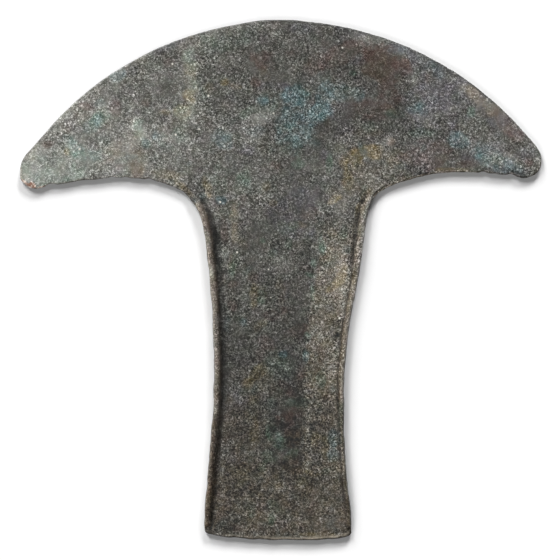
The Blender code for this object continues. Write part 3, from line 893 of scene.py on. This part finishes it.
    def _minerals(self, tree: Tree, where: Socket) -> Socket:
        """The dark ground with each mineral over it, each grown in grains of its own size.

        Args:
            tree: the material's nodes.
            where: coordinates in metres.

        Returns:
            The colour.
        """
        result = linear(self.ground)
        for number, layer in enumerate(self.layers):
            mask = add_node(tree, "Attribute", {"attribute_name": layer.mineral.value}).outputs["Fac"]
            look = {"noise_dimensions": "4D", "W": number * self.growth_step, "Detail": 2.0, "Roughness": 0.5}
            covers = tuple(share * layer.cover for share in self.growth)
            patchy = self._uneven(tree, where, layer.grain, look, self.growth_range, covers)
            cover = add_node(
                tree, "Math", {"operation": "MULTIPLY", "use_clamp": True}, {0: mask, 1: patchy}
            ).outputs[0]
            result = self._mix(tree, result, linear(layer.colour), cover)
        return result

    def _ramp(self, tree: Tree, bands: tuple[Band, ...], inset: Socket) -> bpy.types.Node:
        """A colour ramp across a margin.

        Args:
            tree: the material's nodes.
            bands: the lines of the margin, from the rim inwards.
            inset: distance from the rim, as a part of the last band's inset.

        Returns:
            The ramp's node, whose alpha is how much each line hides.
        """
        node = add_node(tree, "ValToRGB", links={"Fac": inset})
        stops = node.color_ramp.elements
        # New stops are put in their places below.
        while len(stops) < len(bands):
            stops.new(0.5)
        for stop, band in zip(stops, bands):
            stop.position = band.inset / bands[-1].inset
            stop.color = linear(band.colour)[:3] + (band.cover,)
        return node

    def _lines(self, tree: Tree, where: Socket, colour: Socket, lines: dict[str, tuple[Band, ...]]) -> Socket:
        """Lines that follow the rim, such as those along a raised margin, which hold painted light and shade.

        Args:
            tree: the material's nodes.
            where: coordinates in metres.
            colour: the colour so far.
            lines: the bands by the name of the mask that says where they show.

        Returns:
            The colour.
        """
        look = {"Detail": 4.0, "Roughness": 0.65}
        broken = self._uneven(tree, where, self.gap, look, self.gap_range, self.gap_cover)
        wobble = add_node(
            tree, "TexNoise", {"Scale": per_metre(self.wobble)} | look, {"Vector": where}
        ).outputs["Fac"]
        inset = add_node(tree, "Attribute", {"attribute_name": "inset"}).outputs["Fac"]
        moved = add_node(tree, "Math", {"operation": "ADD"}, {0: wobble, 1: inset}).outputs[0]
        moved = add_node(tree, "Math", {"operation": "SUBTRACT", 1: NOISE_MIDDLE}, {0: moved}).outputs[0]
        for name, bands in lines.items():
            part = add_node(tree, "Math", {"operation": "DIVIDE", 1: bands[-1].inset}, {0: moved}).outputs[0]
            ramp = self._ramp(tree, bands, part)
            mask = add_node(tree, "Attribute", {"attribute_name": name}).outputs["Fac"]
            hidden = ramp.outputs["Alpha"]
            for share in (mask, broken):
                hidden = add_node(tree, "Math", {"operation": "MULTIPLY"}, {0: hidden, 1: share}).outputs[0]
            colour = self._mix(tree, colour, ramp.outputs["Color"], hidden)
        return colour

    def _speckle(self, tree: Tree, where: Socket, colour: Socket, grain: Socket) -> Socket:
        """Breaks the colour into light and dark grains, and varies its hue a little.

        Args:
            tree: the material's nodes.
            where: coordinates in metres.
            colour: the colour so far.
            grain: the fine crystals, from 0 to 1.

        Returns:
            The colour.
        """
        hues = add_node(
            tree, "TexNoise", {"Scale": per_metre(self.hue_grain), "Detail": 3.0, "Roughness": 0.5},
            {"Vector": where},
        ).outputs["Color"]
        tinted = add_node(
            tree, "Mix", {"data_type": "RGBA", "blend_type": "OVERLAY", MIX_FACTOR: self.hue_share},
            {MIX_BELOW: colour, MIX_ABOVE: hues},
        ).outputs[MIX_RESULT]
        light = self._light(tree, where, grain)
        grey = add_node(tree, "RGBToBW", links={"Color": tinted}).outputs["Val"]
        vivid = light
        for operation, number in (
            ("POWER", self.vivid_power), ("MULTIPLY", self.vivid_share), ("MINIMUM", self.vivid_most),
        ):
            vivid = add_node(tree, "Math", {"operation": operation, 1: number}, {0: vivid}).outputs[0]
        tinted = add_node(
            tree, "Mix", {"data_type": "RGBA", "clamp_factor": False},
            {MIX_FACTOR: vivid, MIX_BELOW: grey, MIX_ABOVE: tinted},
        ).outputs[MIX_RESULT]
        grained = add_node(tree, "VectorMath", {"operation": "SCALE"}, {0: tinted, "Scale": light}).outputs[0]
        return self._mix(tree, grained, linear(self.calcite_colour), self._pinpoints(tree, where))

    def _light(self, tree: Tree, where: Socket, grain: Socket) -> Socket:
        """How light the crust is: its grains, filled in clumps, with broad clouds and pale films over them.

        Args:
            tree: the material's nodes.
            where: coordinates in metres.
            grain: the fine crystals, from 0 to 1.

        Returns:
            A factor for the colour.
        """
        light = add_node(
            tree, "Math", {"operation": "MULTIPLY_ADD", 1: self.grain_light, 2: self.gap_light}, {0: grain}
        ).outputs[0]
        filled = self._uneven(tree, where, self.clump, {"Detail": 2.0}, self.clump_range, self.clump_fill)
        for name, share in self.fills:
            mask = add_node(tree, "Attribute", {"attribute_name": name}).outputs["Fac"]
            filled = add_node(
                tree, "Math", {"operation": "MULTIPLY_ADD", "use_clamp": True, 1: share}, {0: mask, 2: filled}
            ).outputs[0]
        light = add_node(
            tree, "Mix", {"data_type": "FLOAT", "B": self.fill_light}, {0: filled, "A": light}
        ).outputs[0]
        look = {"Detail": 4.0, "Roughness": 0.6}
        cloud = self._uneven(tree, where, self.cloud, look, self.cloud_range, self.cloud_light)
        bloom, film = (
            add_node(tree, "Attribute", {"attribute_name": crust.value}).outputs["Fac"]
            for crust in (Mineral.BLOOM, Mineral.CHALK)
        )
        pale = add_node(
            tree, "Math", {"operation": "MULTIPLY_ADD", 1: self.bloom_light, 2: 1.0}, {0: bloom}
        ).outputs[0]
        pale = add_node(
            tree, "Math", {"operation": "MULTIPLY_ADD", 1: self.chalk_light}, {0: film, 2: pale}
        ).outputs[0]
        for factor in (cloud, pale):
            light = add_node(tree, "Math", {"operation": "MULTIPLY"}, {0: light, 1: factor}).outputs[0]
        return light

    def _pinpoints(self, tree: Tree, where: Socket) -> Socket:
        """A few single white crystals of calcite, about half a millimetre across.

        Args:
            tree: the material's nodes.
            where: coordinates in metres.

        Returns:
            1 on a crystal and 0 elsewhere.
        """
        cell = add_node(tree, "TexVoronoi", {"Scale": per_metre(self.calcite_gap)}, {"Vector": where})
        chosen = add_node(tree, "SeparateColor", links={"Color": cell.outputs["Color"]}).outputs["Green"]
        chosen = add_node(
            tree, "Math", {"operation": "GREATER_THAN", 1: self.calcite_above}, {0: chosen}
        ).outputs[0]
        radius = self.calcite_size / 2 / self.calcite_gap
        edge = (radius * part for part in self.calcite_edge)
        dot = add_node(
            tree, "MapRange", dict(zip(FROM, edge)), {"Value": cell.outputs["Distance"]}
        ).outputs["Result"]
        return add_node(tree, "Math", {"operation": "MULTIPLY"}, {0: dot, 1: chosen}).outputs[0]

    def _shade(self, tree: Tree, where: Socket, colour: Socket, grain: Socket) -> None:
        """Ends the tree: bare metal at the chips with painted glints, gloss, bump and the shader itself.

        Args:
            tree: the material's nodes.
            where: coordinates in metres.
            colour: the colour of the patina.
            grain: the fine crystals, from 0 to 1.
        """
        mask = add_node(tree, "Attribute", {"attribute_name": Mineral.BARE.value}).outputs["Fac"]
        ragged = add_node(
            tree, "TexNoise", {"Scale": per_metre(self.chip_ragged), "Detail": 3.0}, {"Vector": where}
        ).outputs["Fac"]
        reach = add_node(tree, "Math", {"operation": "ADD"}, {0: mask, 1: ragged}).outputs[0]
        bare = add_node(
            tree, "MapRange", dict(zip(FROM, self.chip_range)), {"Value": reach}
        ).outputs["Result"]
        # Painted glints of near-white colour across the chip's dull metal.
        glint = self._uneven(tree, where, self.glint, {"Detail": 2.0}, self.glint_range)
        chip_and_glint_colour = self._mix(tree, linear(self.chip_colour), linear(self.glint_colour), glint)
        colour = self._mix(tree, colour, chip_and_glint_colour, bare)
        matt = add_node(
            tree, "MapRange", dict(zip(TO, self.roughness)), {"Value": grain}
        ).outputs["Result"]
        rough = add_node(
            tree, "Math", {"operation": "MULTIPLY_ADD", 1: -self.chip_gloss}, {0: bare, 2: matt}
        ).outputs[0]
        metal = add_node(tree, "Math", {"operation": "MULTIPLY", 1: self.chip_metal}, {0: bare}).outputs[0]
        normal = add_node(
            tree, "Bump", {"Strength": self.bump_strength, "Distance": self.bump * MM}, {"Height": grain}
        ).outputs["Normal"]
        shader = add_node(
            tree, "BsdfPrincipled", {"Specular IOR Level": self.specular},
            {"Base Color": colour, "Roughness": rough, "Metallic": metal, "Normal": normal},
        )
        add_node(tree, "OutputMaterial", links={"Surface": shader.outputs["BSDF"]})


@dataclass(frozen=True)
class RimLines:
    """Where the dark edge, the painted highlight along the rim and the lines of the butt show.

    A pair says where an effect is nothing and where it is full, in millimetres along X or Y.
    """

    # Where the rim counts as the undersides of the horns, from above and from the butt.
    under_y: Pair = (32.0, 29.0)
    shank_y: Pair = (-60.0, -50.0)
    # The dark edge along the crest, which is weaker on the left, and at the horns' ends.
    crest_y: Pair = (40.0, 50.0)
    crest_x: Pair = (-30.0, 10.0)
    crest_left: float = 0.35
    side: float = 0.3
    tip: float = 0.35
    tip_x: Pair = (-60.0, -66.0)
    # The painted highlight along the rim, which turns away from the lamps, under the horns and on top of the
    # margins.
    left_horn: float = 0.35
    right_horn: float = 0.3
    right_horn_x: Pair = (58.0, 50.0)
    left_margin: float = 0.25
    left_margin_y: Pair = (-25.0, 5.0)
    right_margin: float = 0.35
    right_margin_low: float = -20.0
    # The lines of the butt, a dark outline and a painted light line on its rim, which are weaker on the left.
    butt_y: Pair = (-67.0, -69.0)
    butt_left: float = 0.35
    butt_x: Pair = (-8.0, 6.0)

    def masks(self, places: np.ndarray, raised: np.ndarray, top: np.ndarray) -> dict[str, np.ndarray]:
        """Lays the lines out.

        Args:
            places: the places in millimetres, one row each.
            raised: how far the margin beside them stands up.
            top: how far they face up, from 0 to 1.

        Returns:
            One mask a line, by the line's name.
        """
        x, y = places[:, 0], places[:, 1]
        margin = standing(raised)
        flat = 1.0 - margin
        under = smoothstep(*self.under_y, y) * smoothstep(*self.shank_y, y)
        crest = smoothstep(*self.crest_y, y) * at_least(self.crest_left, smoothstep(*self.crest_x, x))
        side = self.side + self.tip * smoothstep(*self.tip_x, x)
        right = at_least(self.right_horn, smoothstep(*self.right_horn_x, x))
        horn = np.where(x > 0.0, right, self.left_horn)
        left_margin = at_least(self.left_margin, smoothstep(*self.left_margin_y, y)) * (x < 0.0)
        right_margin = self.right_margin * (x > 0.0) * (y > self.right_margin_low)
        # The painted highlight along the rim under the horns and on the margins' tops.
        rim_highlight = np.maximum.reduce([horn * under * flat, left_margin * margin, right_margin * margin])
        # A painted light line along the butt's rim, behind a dark outline.
        butt = smoothstep(*self.butt_y, y) * at_least(self.butt_left, smoothstep(*self.butt_x, x))
        return {
            "edge": flat * np.maximum(crest, side * (1.0 - under) * (y > 0.0)),
            "rim_highlight": rim_highlight * top,
            "butt": butt * top,
        }


@dataclass
class AxeMoney:
    """The whole piece of metal: a thin sheet with its margins hammered up, dented and corroded.

    Sizes are in millimetres. A pair says where an effect is nothing and where it is full: along X or Y if its
    name ends in x or y, by the distance from the rim if it ends in inset, and by how far the surface faces
    up, from -1 to 1, if it ends in facing.
    """

    finish: PatinatedCopper
    rim_lines: RimLines = RimLines()
    thickness: float = 1.2
    spacing: float = 0.45
    front_facing: Pair = (0.2, 0.8)
    # Hammer marks, crust and pits.
    hammer_size: float = 11.0
    hammer_depth: float = 0.07
    hammer_level: float = 0.4
    crust_size: float = 2.4
    crust_depth: float = 0.04
    pit_size: float = 1.7
    pit_depth: float = 0.05
    pit_lip: Pair = (0.45, 0.1)
    # The margins stand higher low on the right, and are worn down towards the neck and at the butt.
    margin_gain: float = 0.1
    gain_y: Pair = (-20.0, -35.0)
    margin_wear: float = 0.2
    wear_y: Pair = (-25.0, -5.0)
    end_wear: float = 0.7
    end_y: Pair = (-59.0, -67.0)
    # The trough inside each margin, which is uneven and, on the right, lies beside the neck only.
    trough_start_inset: Pair = (1.4, 2.0)
    trough_end_inset: Pair = (3.2, 2.4)
    trough_depth: float = 0.16
    trough_swell: float = 8.0
    trough_uneven: float = 0.5
    trough_right_y: Pair = (-6.0, 4.0)
    # The rubbed strip beside the right margin, which stands up by a step and fades past its two ends.
    strip_step: float = 0.08
    strip_inset: Pair = (2.0, 2.6)
    strip_edge_x: Pair = (-0.2, 0.3)
    strip_low_y: Pair = (-3.0, 3.0)
    strip_high_y: Pair = (6.0, -2.0)
    # The rim's worn corner, its waves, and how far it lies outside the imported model's.
    worn_round: float = 0.15
    round_facing: Pair = (0.35, 0.6)
    round_inset: Pair = (0.9, 0.5)
    wave_size: float = 3.5
    wave_depth: float = 0.22
    wave_level: float = 0.35
    wave_upright: float = 0.3
    wave_upper: float = 0.25
    lower_y: Pair = (30.0, 27.0)
    spread: float = 0.12
    right_spread: float = 0.06
    right_spread_y: Pair = (30.0, 40.0)
    rim_inset: Pair = (2.2, 0.2)
    # The patina: how ragged the patches are, what they face, and where they are thinner.
    ragged_size: float = 6.0
    ragged_fine: float = 1.8
    ragged_share: float = 0.8
    painted_facing: Pair = (-0.2, 0.2)
    strip_loss: tuple[tuple[Mineral, float], ...] = ((Mineral.EARTH, 0.6), (Mineral.BLOOM, 0.14))
    # The sides take more tenorite and smoother grains: partly their own dark patina, partly painted shade
    # where the grazing lamps light them strongly.
    side_patina_and_shade: tuple[tuple[Mineral, float], ...] = ((Mineral.TENORITE, 0.85), (Mineral.SMOOTH, 0.8))
    side_up_facing: Pair = (0.45, 0.2)
    side_down_facing: Pair = (-0.9, -0.5)
    margin_loss: float = 0.5
    margin_loss_y: Pair = (-42.0, -30.0)
    margin_loss_inset: Pair = (2.4, 1.8)
    margin_facing: Pair = (-0.1, 0.4)
    line_facing: Pair = (-0.3, 0.2)
    # The strewn stains' sizes and strengths, each from the least to the greatest.
    strewn_length: Pair = (2.0, 8.0)
    strewn_width: Pair = (1.5, 4.0)
    strewn_strength: Pair = (0.1, 0.35)

    def build(self) -> bpy.types.Object:
        """Makes the piece, dresses it and puts it in the place of its CAD node.

        Returns:
            The piece.
        """
        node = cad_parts[NODE]
        low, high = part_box(NODE)
        rim = Rim.read(node, self.thickness, high.z / MM)
        piece = self._dense_copy(node)
        places, normals = self._read(piece.data)
        inset, nearest = rim.nearest(places)
        raised, inward = rim.raised[nearest], rim.inward[nearest]
        moved = self._worked(places, normals, inset, raised, inward)
        moved = np.clip(moved, np.array(low) / MM, np.array(high) / MM)
        piece.data.vertices.foreach_set("co", (moved * MM).astype(np.float32).ravel())
        piece.data.shade_smooth()
        self._paint(piece.data, places, normals, inset, raised)
        piece.data.materials.clear()
        piece.data.materials.append(self.finish.material())
        piece.data.update()
        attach(piece, BODY)
        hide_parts(NODE)
        return piece

    def _dense_copy(self, node: bpy.types.Object) -> bpy.types.Object:
        """Copies the CAD solid as an evenly dense mesh.

        Args:
            node: the CAD node's object.

        Returns:
            A new object, linked to the scene.
        """
        rough = bpy.data.objects.new("rough", node.data.copy())
        bpy.context.scene.collection.objects.link(rough)
        dense = rough.modifiers.new("dense", "REMESH")
        dense.mode = "VOXEL"
        dense.voxel_size = self.spacing * MM
        graph = bpy.context.evaluated_depsgraph_get()
        mesh = bpy.data.meshes.new_from_object(rough.evaluated_get(graph))
        bpy.data.objects.remove(rough)
        mesh.name = "copper_sheet"
        piece = bpy.data.objects.new("copper_sheet", mesh)
        bpy.context.scene.collection.objects.link(piece)
        return piece

    def _read(self, mesh: bpy.types.Mesh) -> tuple[np.ndarray, np.ndarray]:
        """Reads a mesh's vertices.

        Args:
            mesh: the mesh.

        Returns:
            Their places in millimetres and their normals, one row each.
        """
        places = np.empty(len(mesh.vertices) * 3, np.float32)
        normals = np.empty(len(mesh.vertices) * 3, np.float32)
        mesh.vertices.foreach_get("co", places)
        mesh.vertex_normals.foreach_get("vector", normals)
        return places.reshape(-1, 3).astype(float) / MM, normals.reshape(-1, 3).astype(float)

    def _strip(self, places: np.ndarray) -> np.ndarray:
        """How far each place is inside the rubbed strip beside the right margin.

        Args:
            places: the places in millimetres, one row each.

        Returns:
            One value a place, from 0 to 1.
        """
        edge_y, edge_x = zip(*reversed(STRIP_EDGE))
        x, y = places[:, 0], places[:, 1]
        ends = smoothstep(*self.strip_low_y, y - edge_y[0]) * smoothstep(*self.strip_high_y, y - edge_y[-1])
        return smoothstep(*self.strip_edge_x, x - np.interp(y, edge_y, edge_x)) * ends

    def _worked(self, places: np.ndarray, normals: np.ndarray, inset: np.ndarray, raised: np.ndarray,
                inward: np.ndarray) -> np.ndarray:
        """Works the hammer marks, the corrosion, the dents and the nicks into the surface.

        Args:
            places: the vertices in millimetres.
            normals: their normals.
            inset: their distance from the rim.
            raised: how far the margin beside them stands up.
            inward: the direction from the rim beside them into the sheet.

        Returns:
            The new places.
        """
        x, y, up = places[:, 0], places[:, 1], normals[:, 2]
        beat = cups(places, self.hammer_size, 1) ** 2 - self.hammer_level
        crust = rumple(places, self.crust_size, octaves=3, seed=2)
        pits = smoothstep(*self.pit_lip, cups(places, self.pit_size, 3))
        lift = self.hammer_depth * beat + self.crust_depth * crust - self.pit_depth * pits
        moved = places + normals * lift[:, None]
        above = np.maximum(moved[:, 2] - self.thickness, 0.0)
        gain = self.margin_gain * (x > 0.0) * smoothstep(*self.gain_y, y)
        wear = self.margin_wear * smoothstep(*self.wear_y, y) + self.end_wear * smoothstep(*self.end_y, y)
        moved[:, 2] += above * (gain - wear)
        across = np.clip(self.worn_round - inset, 0.0, self.worn_round)
        corner = self.thickness - self.worn_round + np.sqrt(self.worn_round ** 2 - across ** 2)
        upright = smoothstep(*self.round_facing, up) * smoothstep(*self.round_inset, inset)
        moved[:, 2] += (corner - places[:, 2]) * (1.0 - standing(raised)) * upright
        moved[:, 2] -= self._sunk(places, inset, raised) * smoothstep(*self.front_facing, up)
        lean = (1.0, 1.0, self.wave_upright)
        wave = np.clip(self.wave_level + rumple(places * lean, self.wave_size, octaves=2, seed=5), 0.0, 1.0)
        push = wave * self.wave_depth * at_least(self.wave_upper, smoothstep(*self.lower_y, y))
        push -= self.spread + self.right_spread * (x > 0.0) * smoothstep(*self.right_spread_y, y)
        push += sum(nick.bite(places) for nick in NICKS)
        moved[:, :2] += inward * (push * smoothstep(*self.rim_inset, inset))[:, None]
        return moved

    def _sunk(self, places: np.ndarray, inset: np.ndarray, raised: np.ndarray) -> np.ndarray:
        """How far the front face is lowered by the troughs and the dents, less the strip's step.

        Args:
            places: the vertices in millimetres.
            inset: their distance from the rim.
            raised: how far the margin beside them stands up.

        Returns:
            One depth a vertex, in millimetres.
        """
        x, y = places[:, 0], places[:, 1]
        trough = smoothstep(*self.trough_start_inset, inset) * smoothstep(*self.trough_end_inset, inset)
        trough *= raised * np.where(x > 0.0, smoothstep(*self.trough_right_y, y), 1.0)
        uneven = 1.0 + self.trough_uneven * rumple(places, self.trough_swell, octaves=2, seed=4)
        sink = self.trough_depth * trough * uneven
        sink -= self.strip_step * self._strip(places) * smoothstep(*self.strip_inset, inset)
        return sink + sum(dent.sink(places) for dent in DENTS)

    def _paint(self, mesh: bpy.types.Mesh, places: np.ndarray, normals: np.ndarray, inset: np.ndarray,
               raised: np.ndarray) -> None:
        """Lays the minerals and the margins out as masks on the mesh.

        Args:
            mesh: the mesh that takes the masks.
            places: its vertices in millimetres, before they were worked.
            normals: their normals.
            inset: their distance from the rim.
            raised: how far the margin beside them stands up.
        """
        wander = rumple(places, self.ragged_size, octaves=2, seed=6)
        wander += self.ragged_share * rumple(places, self.ragged_fine, octaves=2, seed=7)
        up = normals[:, 2]
        front = smoothstep(*self.painted_facing, up)
        back = 1.0 - front
        bare = {mineral: np.ones(len(places)) for mineral in Mineral}
        faces = ((front, FRONT), (back, BACK), (front, self._strewn(7)), (back, self._strewn(8)))
        for face, table in faces:
            for mineral, patches in table.items():
                for patch in patches:
                    bare[mineral] *= 1.0 - patch.cover(places, wander, CRISP.get(mineral, 0.0)) * face
        strip = self._strip(places) * front
        # The strip takes more earth and bloom. The sides are darkened, partly as patina and partly as painted
        # shade.
        sides = smoothstep(*self.side_up_facing, up) * smoothstep(*self.side_down_facing, up)
        for losses, where in ((self.strip_loss, strip), (self.side_patina_and_shade, sides)):
            for mineral, loss in losses:
                bare[mineral] *= 1.0 - loss * where
        margin = standing(raised)
        upper = smoothstep(*self.margin_loss_y, places[:, 1]) * smoothstep(*self.margin_loss_inset, inset)
        bare[Mineral.SMOOTH] *= 1.0 - self.margin_loss * margin * upper
        masks = {mineral.value: 1.0 - rest for mineral, rest in bare.items()}
        masks |= {"inset": inset, "strip": strip}
        for stretch in self.finish.margins:
            masks[stretch.name] = margin * smoothstep(*self.margin_facing, up) * stretch.mask(places)
        masks |= self.rim_lines.masks(places, raised, smoothstep(*self.line_facing, up))
        for name, values in masks.items():
            layer = mesh.attributes.new(name, "FLOAT", "POINT")
            layer.data.foreach_set("value", values.astype(np.float32))

    def _strewn(self, seed: int) -> dict[Mineral, tuple[Stain, ...]]:
        """Small faint stains strewn over a face.

        Args:
            seed: picks another scatter of the same kind.

        Returns:
            The stains by mineral, the same each time.
        """
        draw = np.random.default_rng(seed)
        low, high = (np.array(corner)[:2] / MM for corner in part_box(NODE))
        return {
            mineral: tuple(
                Stain(*draw.uniform(low, high), draw.uniform(*self.strewn_length),
                      draw.uniform(*self.strewn_width), turn=draw.uniform(0.0, 180.0),
                      strength=draw.uniform(*self.strewn_strength))
                for _ in range(count)
            )
            for mineral, count in STREWN.items()
        }


@dataclass(frozen=True)
class PaperFloor:
    """Matt white paper, uncoated, which gives an even pale ground with no gloss. Sizes are in millimetres."""

    colour: str = "#f5f5f5"
    roughness: float = 0.9
    specular: float = 0.2
    fibre: float = 0.6
    fibre_height: float = 0.02
    fibre_strength: float = 0.1

    def material(self) -> bpy.types.Material:
        """Builds the finish.

        Returns:
            The material.
        """
        made = bpy.data.materials.new("matt_white_paper")
        made.use_nodes = True
        tree = made.node_tree
        tree.nodes.clear()
        where = add_node(tree, "TexCoord").outputs["Object"]
        fibres = add_node(
            tree, "TexNoise", {"Scale": per_metre(self.fibre), "Detail": 3.0}, {"Vector": where}
        ).outputs["Fac"]
        relief = {"Strength": self.fibre_strength, "Distance": self.fibre_height * MM}
        normal = add_node(tree, "Bump", relief, {"Height": fibres}).outputs["Normal"]
        shader = add_node(
            tree, "BsdfPrincipled",
            {"Base Color": linear(self.colour), "Roughness": self.roughness,
             "Specular IOR Level": self.specular},
            {"Normal": normal},
        )
        add_node(tree, "OutputMaterial", links={"Surface": shader.outputs["BSDF"]})
        return made


@dataclass(frozen=True)
class Softbox:
    """A soft lamp: its power in watts, width and height in metres, and elevation and azimuth in degrees."""

    name: str
    power: float
    size: Pair
    elevation: float
    azimuth: float


@dataclass
class Studio:
    """The paper floor, the softboxes, the pale surroundings and the camera.

    Lengths are in metres and angles in degrees.
    """

    paper: PaperFloor
    floor_size: float = 8.0
    floor_gap: float = 0.00003
    camera_height: float = 1.5
    nearest: float = 0.01
    view_width: float = 0.15057
    aim: Pair = (-0.00017, -0.00005)
    sensor: float = 36.0
    sky: float = 0.02
    lamp_distance: float = 8.0
    lamps: tuple[Softbox, ...] = (
        Softbox("right_softbox", 722.0, (2.6, 1.6), 20.3, -13.2),
        Softbox("left_softbox", 757.0, (3.15, 4.3), 27.8, 27.8),
        Softbox("fill_softbox", 244.0, (6.4, 3.7), 38.5, 145.0),
    )

    def build(self) -> None:
        """Sets the whole stage."""
        self._floor()
        self._surroundings()
        for softbox in self.lamps:
            self._hang(softbox)
        self._camera()
        bpy.context.scene.view_settings.view_transform = "Standard"

    def _floor(self) -> None:
        """Lays the paper a hair below the object."""
        shape = bmesh.new()
        bmesh.ops.create_grid(shape, x_segments=1, y_segments=1, size=self.floor_size / 2)
        mesh = bpy.data.meshes.new("paper")
        shape.to_mesh(mesh)
        shape.free()
        floor = bpy.data.objects.new("paper", mesh)
        floor.location.z = -self.floor_gap
        mesh.materials.append(self.paper.material())
        bpy.context.scene.collection.objects.link(floor)

    def _surroundings(self) -> None:
        """Gives the even pale light that fills the shadows."""
        world = bpy.data.worlds.new("pale_surroundings")
        world.use_nodes = True
        background = world.node_tree.nodes["Background"]
        background.inputs["Color"].default_value = (1.0, 1.0, 1.0, 1.0)
        background.inputs["Strength"].default_value = self.sky
        bpy.context.scene.world = world

    def _hang(self, softbox: Softbox) -> None:
        """Hangs one lamp, facing the object.

        Args:
            softbox: the lamp. Its azimuth is its turn from the crest's side towards the left horn.
        """
        lamp = bpy.data.lights.new(softbox.name, "AREA")
        lamp.shape = "RECTANGLE"
        lamp.size, lamp.size_y = softbox.size
        lamp.energy = softbox.power
        hung = bpy.data.objects.new(softbox.name, lamp)
        turn, rise = math.radians(softbox.azimuth), math.radians(softbox.elevation)
        towards = Vector((-math.sin(turn) * math.cos(rise), math.cos(turn) * math.cos(rise), math.sin(rise)))
        hung.location = towards * self.lamp_distance
        hung.rotation_euler = towards.to_track_quat("Z", "Y").to_euler()
        bpy.context.scene.collection.objects.link(hung)

    def _camera(self) -> None:
        """Hangs the camera straight above, with a long lens."""
        lens = bpy.data.cameras.new("camera")
        lens.sensor_width = self.sensor
        lens.lens = self.sensor * self.camera_height / self.view_width
        lens.clip_start = self.nearest
        camera = bpy.data.objects.new("camera", lens)
        camera.location = (self.aim[0], self.aim[1], self.camera_height)
        bpy.context.scene.collection.objects.link(camera)
        bpy.context.scene.camera = camera


def main() -> None:
    """Builds the piece and the studio round it."""
    logging.basicConfig(level=logging.INFO, format="%(name)s: %(message)s")
    piece = AxeMoney(PatinatedCopper()).build()
    log.info("%s: %d vertices, %d faces", piece.name, len(piece.data.vertices), len(piece.data.polygons))
    Studio(PaperFloor()).build()
    log.info("studio set")


if __name__ == "__main__":
    main()
